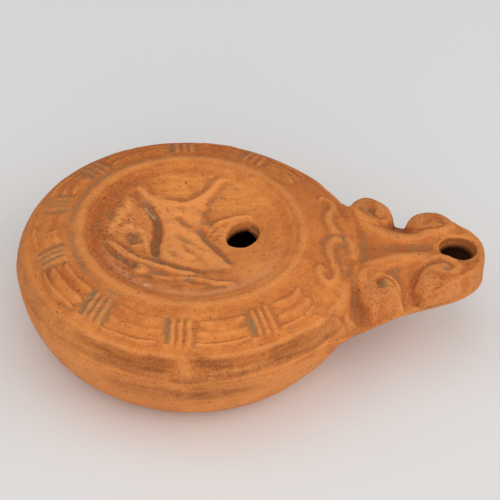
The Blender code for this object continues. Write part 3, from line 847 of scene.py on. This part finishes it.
# %% Wall of the wick hole
rim = np.vstack(shell.points)[outer_loop]
rings = [outer_loop]
for drop, pull in ((0.4, 0.01), (1.0, 0.0), (1.7, 0.02)):
    x = WICK + (rim[:, 0] - WICK) * (1.0 - pull) - 0.1 * drop
    rings.append(shell.add(x, rim[:, 1] * (1.0 - pull), rim[:, 2] - drop))
for upper, lower in zip(rings, rings[1:] + [inner_loop]):
    shell.join(upper, lower)
print("wick hole", 2 * WICK_LONG, "x", 2 * WICK_WIDE, "mm")

# %% [markdown]
# ## The side and the base
#
# The side rounds over from the shoulder to the seam where the two moulds met, and a low worn lug
# sits on it on each side. Under the seam the bowl draws in to a flat base, and the nozzle's hull
# runs back into it like the bow of a boat.

# %% Shape of the side
seam_z = seam_height(SIGNED)
rise = np.maximum(edge_z - seam_z, 0.05)
lean = mix(0.6, 0.15, on_nozzle)
share = np.clip(lean * round_in / rise, 0.0, 0.45)
start = np.arccos(share / (1.0 - share))
fullness = mix(6.0, 2.0, ramp(math.radians(10.0), math.radians(16.0), np.abs(SIGNED)))


def side_point(way):
    """A quarter of a superellipse from the shoulder's edge to the seam, way running from 0 to 1.

    Its power is 2, an ellipse, round the bowl, and 6 at the tip, which is blunt. Under the lobes
    the outline runs in to the rim as the point comes down to the seam.
    """
    angle = start * (1.0 - way)
    z = seam_z + rise * np.sin(angle) / np.sin(start)
    fall = (1.0 - np.sin(angle) ** fullness) ** (1.0 / fullness)
    fall_at_start = (1.0 - np.sin(start) ** fullness) ** (1.0 / fullness)
    full = mix(lower_outline(SIGNED, 0.0), outline, ramp(0.02, 0.40, (z - seam_z) / rise))
    return full - round_in * (1.0 - fall) / (1.0 - fall_at_start), z


print("height of the side at the bowl:", float(rise[FINE // 2].round(2)), "mm")

# %% [markdown]
# ## What the side carries
#
# The lug stands in a shallow recess that a tool left round it. Where the mould halves met there is
# a low line of clay, wiped nearly flat, and the whole wall is slightly uneven.

# %% Lug and seam line
def side_detail(turn, r, z):
    """r plus the lug, less its recess, a gouge and a lip, plus the seam's line and waviness."""
    x = r * np.cos(turn)
    beside = 1.0 - ramp(0.5, 0.9, np.abs(np.abs(turn) - math.pi / 2))
    lip = 0.45 * bell((z, 21.4, 1.3, 2))
    lug = 1.25 * bell((x, -1.8, 2.2, 2), (z, 20.9, 2.0, 2))
    recess = 0.50 * bell((x, -1.5, 6.6, 4), (z, 21.2, 2.2, 4))
    gouge = 0.45 * bell((x, 1.0, 1.6, 2), (z, 15.6, 0.6, 2)) * (turn < 0.0)
    line = 0.16 * np.exp(-((z - seam_height(turn)) / 0.32) ** 2)
    wave = 0.06 * ripple(60.0 * turn, z, 9.0, 21)
    off_tip = ramp(math.radians(8.0), math.radians(14.0), np.abs(turn))
    line = mix(0.3 * line - 0.03, line - 0.19, off_tip)
    wave = wave * mix(0.3, 1.0, off_tip) * ramp(0.0, 2.0, z)
    return r + beside * (lug - recess - gouge - lip) + line + wave


for way in (0.06, 0.13, 0.21, 0.30, 0.39, 0.48, 0.57, 0.66, 0.75, 0.84, 0.91, 0.96, 1.0):
    r, z = side_point(way)
    r = mix(r, side_detail(SIGNED, r, z), ramp(0.0, 0.3, way))
    shell.stack(*polar(r, TURN), z)
print("after the side:", shell.count, "points")

# %% [markdown]
# ## Bowl, hull and base
#
# Below the seam the forms are plain, so every second column is enough, and every fourth under the
# base, which is flat with one shallow groove inside its edge, as a low foot ring.

# %% Bowl, hull and base
DEPTHS = (0.015, 0.035, 0.07, 0.12, 0.18, 0.25, 0.33, 0.42, 0.51, 0.60, 0.69, 0.78, 0.86, 0.93,
          0.975)
FOOT = ((28.6, 0.0), (26.4, 0.0), (25.6, 0.5), (24.6, 0.55), (23.8, 0.1), (16.0, 0.12), (8.0, 0.12))

half_signed = SIGNED[::2]
half_seam = seam_height(half_signed)
for depth in DEPTHS:
    z = half_seam * (1.0 - depth)
    r = side_detail(half_signed, lower_outline(half_signed, depth), z)
    shell.stack(*polar(r, half), z)
for radius, z in FOOT:
    columns = half if radius > 28.0 else turn_in
    shell.stack(*polar(radius, columns), np.full(len(columns), z))
shell.close(0.12, False)
print("whole skin:", shell.count, "points,", len(shell.faces), "faces")

# %% [markdown]
# ## From points to a mesh
#
# The finish needs to know places that only the shape knows, such as hollows, and places that are
# easier to give in plan than in nodes. Each becomes a mask: one number a point, kept on the mesh.

# %% Skin to mesh
skin = np.vstack(shell.points)
clay_mesh = bpy.data.meshes.new("lamp_clay")
clay_mesh.from_pydata((skin * MM).tolist(), [], shell.faces)
clay_mesh.update()
clay_mesh.shade_smooth()


def keep_mask(name, values):
    """Keeps a mask from 0 to 1 on the mesh, and prints how much of it is strong."""
    attribute = clay_mesh.attributes.new(name, "FLOAT", "POINT")
    attribute.data.foreach_set("value", np.clip(values, 0.0, 1.0).astype(np.float32))
    print(f"mask {name}: {np.mean(values > 0.5):.1%} of the points above a half")

# %% [markdown]
# ## Where dirt and painted shade gather
#
# Deposit stays in hollows and wear takes it off crests; the hollows and basins are also darkened as
# painted shade, and the crests lightened as painted highlight. To find them, the mesh is smoothed a
# few times: where the smoothed skin lies above the real one there is a hollow, and where it lies
# below there is a crest. Smoothing it many times finds the wide basins between the forms.

# %% Hollows, crests and basins
edges = np.zeros(len(clay_mesh.edges) * 2, np.int32)
clay_mesh.edges.foreach_get("vertices", edges)
one_end, other_end = edges[0::2], edges[1::2]
degree = np.bincount(edges, minlength=len(skin))[:, None]
normals = np.zeros(len(skin) * 3, np.float32)
clay_mesh.vertices.foreach_get("normal", normals)
normals = normals.reshape(-1, 3)


def smoothed(values, times):
    """Values averaged with their neighbours along the mesh's edges, several times over."""
    for _ in range(times):
        total = np.stack([np.bincount(one_end, column[other_end], len(skin))
                          + np.bincount(other_end, column[one_end], len(skin))
                          for column in values.T], axis=1)
        values = 0.5 * values + 0.5 * total / degree
    return values


def sunk(times, again):
    """How far the skin lies below itself smoothed so many times, itself smoothed a little."""
    lift = ((smoothed(skin, times) - skin) * normals).sum(axis=1)
    return smoothed(lift[:, None], again)[:, 0]


near = sunk(14, 2)
# Hollows: dirt and painted shade.
keep_mask("hollow_dirt_and_painted_shade", near / 0.10)
# Crests: wear, and painted highlight.
keep_mask("crest_wear_and_painted_highlight", -near / 0.10)
# Basins: dirt and painted shade, over a wider reach.
keep_mask("basin_dirt_and_painted_shade", sunk(90, 10) / 0.45)

# %% [markdown]
# ## Grey-green deposit
#
# The soil left a grey-green crust in the deepest lines: along the figure's edge, in the groove
# outside the ring, beside the ties' bars and in the eyes of the volutes.

# %% Deposit
across, ahead, up = skin.T
reach = np.hypot(across, ahead)
turned = np.arctan2(ahead, across)
on_face = up > 20.0                      # the upper side, discus and shoulder


def stain_of(points, width):
    """Deposit along a line in plan: a bell of the distance, on the upper side alone."""
    return np.exp(-(along(across, ahead, eased(points))[0] / width) ** 2) * (up > 19.0)


# Places in plan, and the size of each patch.
CRUST = ((-13.5, -0.4, 1.6), (-14.1, -9.8, 1.3), (-8.4, -12.9, 1.0), (4.8, -11.2, 1.7),
         (2.6, 5.9, 1.1), (-0.3, -14.4, 1.2), (41.5, 11.9, 1.5), (37.3, -21.5, 1.6),
         (42.8, -12.9, 1.2), (57.6, -7.6, 1.2), (34.0, 0.6, 1.3))

stain = 0.8 * bell((reach, 27.3, 0.7, 2)) * on_face * ramp(6.0, 20.0, -across)
for (points, _, _), width in zip(DISCUS_GROOVES, (0.75, 0.6, 0.7, 0.75)):
    stain = np.maximum(stain, stain_of(points, width))
for place_and_size in CRUST:
    stain = np.maximum(stain, spot(across, ahead, *place_and_size) * (up > 14.0))
for side, half_ties in TIES.items():
    for tie, lean in zip(half_ties, TIE_LEAN):
        sideways = tie_place(across, ahead, tie, lean)
        crust = bell((sideways, 2.75, 0.75, 2), (reach, 31.6, 3.2, 4))
        whole = bell((sideways, 0.0, 3.6, 4), (reach, 32.0, 3.4, 4))
        crust = crust + 0.6 * (tie > 125.0) * whole
        crust = crust * on_face * (ahead * side > 0.0)
        stain = np.maximum(stain, crust * (1.0 if side < 0 else 0.7))
keep_mask("stain", stain)

# %% [markdown]
# ## The dark wash on the wall, and painted shade round the lug
#
# A thin slip was wiped round the wall. It stays as a dark band over the seam and as streaks lower
# down in front, and it is rubbed off the lug. A dark arch over the lug, under the shoulder's edge,
# and dark spots beside the lug are painted shade.

# %% Wash and painted shade
on_bowl = ramp(30.0, 42.0, np.abs(np.degrees(turned)))
in_front = 1.0 - 0.55 * ramp(115.0, 135.0, np.abs(np.degrees(turned)))
band_top = 22.9 + 0.5 * ripple(60.0 * turned, 0.0, 16.0, 33)
band_low = 18.0 - 1.3 * bell((across, -1.0, 10.0, 2))
wash_and_painted_shade = on_bowl * in_front * (reach > 36.2) * ramp(band_low, band_low + 1.3, up)
wash_and_painted_shade = wash_and_painted_shade * (1.0 - ramp(band_top - 0.6, band_top + 0.4, up))
low_streaks = bell((up, 13.6, 2.7, 2), (across, -1.0, 17.0, 4)) * (reach > 30.0)
wash_and_painted_shade = np.maximum(wash_and_painted_shade, 0.95 * low_streaks)
# Painted shade: a dark arch over the lug, under the shoulder's edge.
arch = np.exp(-((across + 0.6) / 5.2) ** 4 - ((up - 23.1 + 0.03 * across ** 2) / 0.7) ** 2)
wash_and_painted_shade = np.maximum(wash_and_painted_shade, arch * (reach > 35.0) * (np.abs(ahead) > 30.0))
wash_and_painted_shade = wash_and_painted_shade * (1.0 - 0.8 * bell((across, -1.8, 2.0, 2), (up, 21.0, 1.9, 2)))
# Painted shade: dark spots beside the lug.
for at_x, size in ((-5.6, 1.6), (2.8, 2.4)):
    beside_lug = bell((across, at_x, size, 2), (up, 20.9, 1.9, 4))
    wash_and_painted_shade = np.maximum(wash_and_painted_shade, beside_lug * (reach > 36.0))
keep_mask("wash_and_painted_shade", wash_and_painted_shade)

# %% [markdown]
# ## Worn places, painted light and painted shade
#
# The raised figure is paler, partly from wear and partly as painted light, and the dish's lit lower
# right slope and the hollow between the lobes are paler as painted light. The dish's far slope
# keeps brush marks and is painted lighter as painted light. The outer sides of the volutes, the tip
# and the far shoulder are darker, and the dish's left is darker, partly as painted shade. Two chips
# are bright, and what lies inside the lamp is painted dark, as soot and as painted shade.

# %% Worn places, painted light and painted shade
# Darker spots in plan, with x, y and size: the volutes' outer sides and the tip.
DARK_TONE_AND_PAINTED_SHADE = ((41.0, -15.5, 6.0), (38.5, -18.0, 5.0), (54.5, -11.5, 5.0), (41.5, 15.0, 4.5),
         (55.5, 11.0, 3.5), (66.0, -5.0, 6.5))
CHIPS = ([(-10.3, 10.2), (-9.3, 9.2), (-8.2, 8.0)], [(-10.2, -18.2), (-9.7, -17.8), (-9.2, -17.7)])

on_top = on_face & (reach < 21.0)
# Paler: the worn raised figure, partly painted light; the dish's lit lower right slope and the
# hollow between the lobes, painted light.
worn_and_painted_light = np.zeros(len(skin))
worn_and_painted_light[on_top] = np.clip(discus_relief(across[on_top], ahead[on_top]) / 0.8, 0.0, 1.0)
worn_and_painted_light = np.maximum(worn_and_painted_light, spot(across, ahead, 14.5, -12.5, 6.0) * on_face)
worn_and_painted_light = np.maximum(worn_and_painted_light, 0.8 * spot(across, ahead, 48.3, -12.0, 4.2) * (up > 14.0))
keep_mask("worn_and_painted_light", worn_and_painted_light)

# The dish's far slope: brush marks, and painted light that makes it lighter.
brush_marks_and_painted_light = ramp(3.0, 13.0, ahead) * ramp(9.0, 13.0, reach) * (1.0 - ramp(20.6, 21.8, reach)) * on_face
keep_mask("brush_marks_and_painted_light", brush_marks_and_painted_light * (1.0 - worn_and_painted_light) * (1.0 - ramp(2.0, 14.0, -across)))

# Darker: the dish's left, partly painted shade, and the far shoulder.
dark_tone_and_painted_shade = (1.0 - ramp(23.4, 24.4, reach)) * on_face * ramp(2.0, 15.0, -across)
dark_tone_and_painted_shade = np.maximum(dark_tone_and_painted_shade, 0.7 * ramp(26.0, 28.0, reach) * ramp(2.0, 30.0, ahead))
for place_and_size in DARK_TONE_AND_PAINTED_SHADE:
    dark_tone_and_painted_shade = np.maximum(dark_tone_and_painted_shade, 0.95 * spot(across, ahead, *place_and_size))
keep_mask("dark_tone_and_painted_shade", dark_tone_and_painted_shade)

# The dish's near slope, painted paler and pinker as painted light.
pink_painted_light = bell((reach, 20.6, 1.5, 2)) * on_face
keep_mask("pink_painted_light", pink_painted_light * ramp(0.1, 0.8, -ahead / np.maximum(reach, 1.0)))
keep_mask("chip", np.maximum(*(stain_of(points, 0.22) for points in CHIPS)))
# Inside the lamp: soot, and painted shade.
keep_mask("soot_and_painted_shade", (np.arange(len(skin)) < inner_points) * 1.0)

# %% [markdown]
# ## Shader maths as Python
#
# A small class wraps a socket, so that an expression such as 1 - mask adds its Math nodes by
# itself. Every other node comes from one method: its type, its settings, then its sockets.

# %% Wrapper for sockets
class Socket:
    """An output of a node. Operators on it add Math nodes to the same finish."""

    def __init__(self, finish, socket):
        self.finish = finish
        self.socket = socket

    def maths(self, operation, first, second):
        return self.finish.node("ShaderNodeMath", {"operation": operation},
                                {"Value": first, "Value_001": second})

    def __add__(self, other):
        return self.maths("ADD", self, other)

    def __sub__(self, other):
        return self.maths("SUBTRACT", self, other)

    def __rsub__(self, other):
        return self.maths("SUBTRACT", other, self)

    def __mul__(self, other):
        return self.maths("MULTIPLY", self, other)

    __radd__ = __add__
    __rmul__ = __mul__


print("wrapper:", Socket.__name__)

# %% [markdown]
# ## A finish and its nodes
#
# A finish holds a material and the colour laid so far. Each coat blends a new colour over it, by a
# share that may be a number or a mask, as a painter glazes one thin layer over another.

# %% Class for a finish
def colour(red, green, blue):
    return (red, green, blue, 1.0)


class Finish:
    """A material, the nodes that are added to it, and the colour that its coats build up."""

    def __init__(self, name):
        self.material = bpy.data.materials.new(name)
        self.material.use_nodes = True
        self.tree = self.material.node_tree
        self.shader = self.tree.nodes["Principled BSDF"]
        self.base = None

    def node(self, kind, settings, sockets, output=0):
        """A node of a kind: settings first, then its sockets' values or links."""
        made = self.tree.nodes.new(kind)
        for key, value in settings.items():
            setattr(made, key, value)
        for key, value in sockets.items():
            self.plug(next(s for s in made.inputs if key in (s.identifier, s.name)), value)
        if isinstance(output, int):
            return Socket(self, made.outputs[output])
        return Socket(self, next(s for s in made.outputs if output in (s.identifier, s.name)))

    def plug(self, target, value):
        """Links a wrapped socket to a target, or sets a plain value on it."""
        if isinstance(value, Socket):
            self.tree.links.new(value.socket, target)
        else:
            target.default_value = value

    def mask(self, name):
        """A mask that is kept on the mesh."""
        return self.node("ShaderNodeAttribute", {"attribute_name": name}, {}, "Fac")

    def stretched(self, vector, *scale):
        """Coordinates scaled along each axis, for streaks."""
        return self.node("ShaderNodeMapping", {}, {"Vector": vector, "Scale": scale})

    def noise(self, vector, scale, detail, roughness=0.55):
        return self.node("ShaderNodeTexNoise", {}, {"Vector": vector, "Scale": scale,
                                                    "Detail": detail, "Roughness": roughness})

    def step(self, value, low, high):
        """0 below low, 1 above high, smooth between."""
        return self.node("ShaderNodeMapRange", {"interpolation_type": "SMOOTHSTEP"},
                         {"Value": value, "From Min": low, "From Max": high})

    def coat(self, share, *rgb):
        """Blends a colour over the colour so far, by a share from 0 to 1."""
        self.base = self.node("ShaderNodeMix", {"data_type": "RGBA"},
                              {"Factor_Float": share, "A_Color": self.base,
                               "B_Color": colour(*rgb)}, "Result_Color")


clay = Finish("terracotta")
print("finish:", clay.material.name)

# %% [markdown]
# ## Fired clay
#
# Unglazed terracotta is matt. Its orange varies softly over centimetres where the kiln and a thin
# wash coloured it, and brush lines run round the body, so those noises are stretched sideways.

# %% Clay, darker tone, painted shade and light, and brushing
place = clay.node("ShaderNodeTexCoord", {}, {}, "Object")
hollow_dirt_and_painted_shade, crest_wear_and_painted_highlight, basin_dirt_and_painted_shade, stain_mask, wash_and_painted_shade_mask, pink_painted_light_mask = map(
    clay.mask, ("hollow_dirt_and_painted_shade", "crest_wear_and_painted_highlight", "basin_dirt_and_painted_shade", "stain", "wash_and_painted_shade", "pink_painted_light"))
worn_and_painted_light_mask, soot_and_painted_shade_mask, dark_tone_and_painted_shade_mask, chip_mask, brush_marks_and_painted_light_mask = map(
    clay.mask, ("worn_and_painted_light", "soot_and_painted_shade", "dark_tone_and_painted_shade", "chip", "brush_marks_and_painted_light"))
medium = clay.noise(place, 240.0, 5.0, 0.6)
lines = clay.noise(clay.stretched(place, 90.0, 90.0, 1000.0), 1.0, 4.0, 0.6)
brushed = clay.noise(clay.stretched(place, 110.0, 1100.0, 500.0), 1.0, 3.0, 0.6)

clay.base = colour(0.64, 0.195, 0.036)
clay.coat(clay.step(clay.noise(place, 55.0, 3.0), 0.38, 0.64), 0.72, 0.245, 0.050)
clay.coat(clay.step(medium, 0.40, 0.68) * 0.7, 0.48, 0.130, 0.024)
clay.coat(clay.step(lines, 0.50, 0.75) * 0.25, 0.42, 0.115, 0.028)
# Darker: the dish's left, partly painted shade, the far shoulder, the volutes' outer sides and the
# tip.
clay.coat(dark_tone_and_painted_shade_mask * 0.9, 0.44, 0.110, 0.018)
# Paler: wear on the raised figure, and painted light.
clay.coat(worn_and_painted_light_mask * 0.75, 0.88, 0.325, 0.085)
# The dish's far slope lighter: painted light, with brush marks in streaks.
clay.coat(brush_marks_and_painted_light_mask * (0.35 + 0.45 * clay.step(brushed, 0.42, 0.62)), 0.82, 0.320, 0.070)
# Crests lighter: wear, and painted highlight.
clay.coat(clay.step(crest_wear_and_painted_highlight, 0.10, 0.80) * 0.45, 0.76, 0.30, 0.085)
print("nodes so far:", len(clay.tree.nodes))

# %% [markdown]
# ## Film and painted shade, wash and deposit
#
# A brown film of dirt and painted shade darkens the basins and hollows, and the dish's near slope
# is painted paler and pinker as painted light. The wash lies in cloudy streaks on the wall, with
# painted shade over and beside the lug, and the grey-green crust is mottled, because it flakes. The
# wash, the deposit in hollows and the crust are each broken up by a noise of their own.

# %% Film and painted shade, wash and deposit
# Basins darker: a brown film of dirt, and painted shade, less on the paler places.
clay.coat(clay.step(basin_dirt_and_painted_shade, 0.05, 0.9) * (0.45 - 0.35 * worn_and_painted_light_mask), 0.40, 0.105, 0.022)
# Hollows darker: a brown film of dirt, and painted shade.
clay.coat(clay.step(hollow_dirt_and_painted_shade, 0.08, 0.85) * (0.48 - 0.15 * worn_and_painted_light_mask), 0.33, 0.095, 0.026)
# Painted light on the dish's near slope.
clay.coat(pink_painted_light_mask * 0.55, 0.74, 0.290, 0.125)
cloud = clay.step(clay.noise(place, 130.0, 6.0, 0.8), 0.30, 0.60)
streak = clay.step(lines, 0.38, 0.62)
# The wash, with the painted shade round the lug.
clay.coat(wash_and_painted_shade_mask * (0.25 + 0.75 * cloud) * (0.50 + 0.40 * streak), 0.215, 0.052, 0.010)
patches = clay.step(clay.noise(place, 150.0, 3.0), 0.47, 0.60)
in_hollow = clay.step(hollow_dirt_and_painted_shade, 0.30, 0.95) * patches
clay.coat(in_hollow * (0.45 - 0.40 * wash_and_painted_shade_mask), 0.30, 0.165, 0.070)
mottle = clay.step(clay.noise(place, 420.0, 5.0, 0.7), 0.34, 0.62)
clay.coat(stain_mask * mottle * 0.85, 0.250, 0.165, 0.080)
print("nodes so far:", len(clay.tree.nodes))

# %% [markdown]
# ## Grain and pits
#
# The clay has sand in it: light and dark points under a millimetre, a few larger dark grains, and
# pits where the skin is worn. The same noises make the bump, so each speck is also felt.

# %% Grain, pits, roughness and bump
fine = clay.noise(place, 1500.0, 4.0, 0.65)
sand = clay.noise(place, 2300.0, 3.0, 0.7)
pits = clay.step(clay.noise(place, 1150.0, 4.0, 0.75), 0.54, 0.63)
grains = clay.step(clay.noise(place, 900.0, 3.0, 0.6), 0.64, 0.70)
clay.coat(clay.step(sand, 0.50, 0.72) * 0.5, 0.36, 0.095, 0.020)
clay.coat(clay.step(sand, 0.50, 0.26) * 0.4, 0.78, 0.33, 0.12)
clay.coat(pits * dark_tone_and_painted_shade_mask * 0.65, 0.22, 0.060, 0.014)
clay.coat(grains * 0.7, 0.20, 0.055, 0.014)
clay.coat(chip_mask * 0.8, 0.85, 0.66, 0.40)
# Inside the lamp painted dark: soot, and painted shade.
clay.coat(soot_and_painted_shade_mask * 0.8, 0.05, 0.022, 0.010)
clay.plug(clay.shader.inputs["Base Color"], clay.base)
clay.plug(clay.shader.inputs["Roughness"], 0.66 + 0.2 * fine)
height = fine * 0.4 + sand * 0.3 + medium * 0.5 + lines * 0.3 - grains * 0.6
height = height - pits * dark_tone_and_painted_shade_mask * 0.8
bump = clay.node("ShaderNodeBump", {}, {"Strength": 0.35, "Distance": 0.00035, "Height": height})
clay.plug(clay.shader.inputs["Normal"], bump)
clay.shader.inputs["Specular IOR Level"].default_value = 0.25
print("terracotta nodes:", len(clay.tree.nodes))

# %% [markdown]
# ## The lamp as a piece
#
# The mesh already has its place in it, so the object stays at the origin. It rides on the one body,
# stands for the imported solid, which is hidden, and takes the terracotta finish.

# %% Put the clay in place
def put_in_scene(name, data):
    """A new object in the scene, at the origin."""
    made = bpy.data.objects.new(name, data)
    bpy.context.scene.collection.objects.link(made)
    return made


lamp = put_in_scene("lamp_clay", clay_mesh)
clay_mesh.materials.append(clay.material)
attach(lamp, "root")
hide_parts("lamp_body")
print("lamp faces:", len(clay_mesh.polygons))

# %% [markdown]
# ## Floor
#
# The lamp stands on a plain pale sheet, large enough to fill the view from every side.

# %% Floor
FLOOR_SIZE = 6.0                         # metres
floor_mesh = bpy.data.meshes.new("sheet")
corners = np.array([(-1, -1, 0), (1, -1, 0), (1, 1, 0), (-1, 1, 0)]) * FLOOR_SIZE / 2
floor_mesh.from_pydata(corners.tolist(), [], [(0, 1, 2, 3)])
floor = put_in_scene("floor", floor_mesh)
sheet = Finish("pale_sheet")
sheet.shader.inputs["Base Color"].default_value = colour(0.80, 0.795, 0.79)
sheet.shader.inputs["Roughness"].default_value = 0.9
floor_mesh.materials.append(sheet.material)
print("sheet", FLOOR_SIZE, "m wide")

# %% [markdown]
# ## Light
#
# Broad soft boxes and a bright room leave hardly any shadow. The front box is the strongest for its
# distance, and it comes in low, so that the relief keeps a little shade behind its edges.

# %% Light
world = bpy.data.worlds.new("studio")
world.use_nodes = True
room = world.node_tree.nodes["Background"]
room.inputs["Color"].default_value = colour(1.0, 1.0, 1.0)
room.inputs["Strength"].default_value = 0.43
bpy.context.scene.world = world
LIT = Vector((0.01, 0.0, 0.015))         # the middle of the lamp


def softbox(name, place_at, size, power, tint):
    """A square area light of a size in metres and a power in watts that faces the lamp."""
    data = bpy.data.lights.new(name, "AREA")
    data.size = size
    data.energy = power
    data.color = tint
    light = put_in_scene(name, data)
    light.location = place_at
    light.rotation_euler = (LIT - light.location).to_track_quat("-Z", "Y").to_euler()


softbox("key", (-0.28, -0.05, 0.90), 1.3, 3.1, (1.0, 0.99, 0.98))
softbox("front", (-0.05, -0.85, 0.40), 0.9, 3.7, (1.0, 0.98, 0.97))
softbox("side", (0.80, -0.20, 0.45), 0.9, 3.0, (1.0, 0.995, 0.99))
bpy.context.scene.view_settings.view_transform = "Standard"
print("lights:", len(bpy.data.lights))

# %% [markdown]
# ## Camera
#
# The camera stands half a metre off, about 41 degrees above the table and a little to the left,
# with a long lens. It leans by 3 degrees, as the one that took the picture did.

# %% Camera
ELEVATION, AZIMUTH, ROLL = (math.radians(v) for v in (40.80, -3.83, 3.12))
TARGET = np.array([13.41, -1.77, 23.2]) * MM
DISTANCE = 0.5                           # metres
LENS, SENSOR = 158.96, 36.0              # millimetres

back = np.array([math.sin(AZIMUTH) * math.cos(ELEVATION), -math.cos(AZIMUTH) * math.cos(ELEVATION),
                 math.sin(ELEVATION)])
right = np.cross(-back, (0.0, 0.0, 1.0))
right /= np.linalg.norm(right)
upward = np.cross(right, -back)
turned_right = right * math.cos(ROLL) + upward * math.sin(ROLL)
turned_up = upward * math.cos(ROLL) - right * math.sin(ROLL)
camera_data = bpy.data.cameras.new("camera")
camera_data.lens, camera_data.sensor_width = LENS, SENSOR
camera_data.clip_start, camera_data.clip_end = 0.01, 20.0
camera = put_in_scene("camera", camera_data)
stand = TARGET + back * DISTANCE
axes = np.c_[turned_right, turned_up, back]
camera.matrix_world = Matrix([[*row, at] for row, at in zip(axes, stand)] + [[0.0, 0.0, 0.0, 1.0]])
bpy.context.scene.camera = camera
print("camera at", stand.round(3))
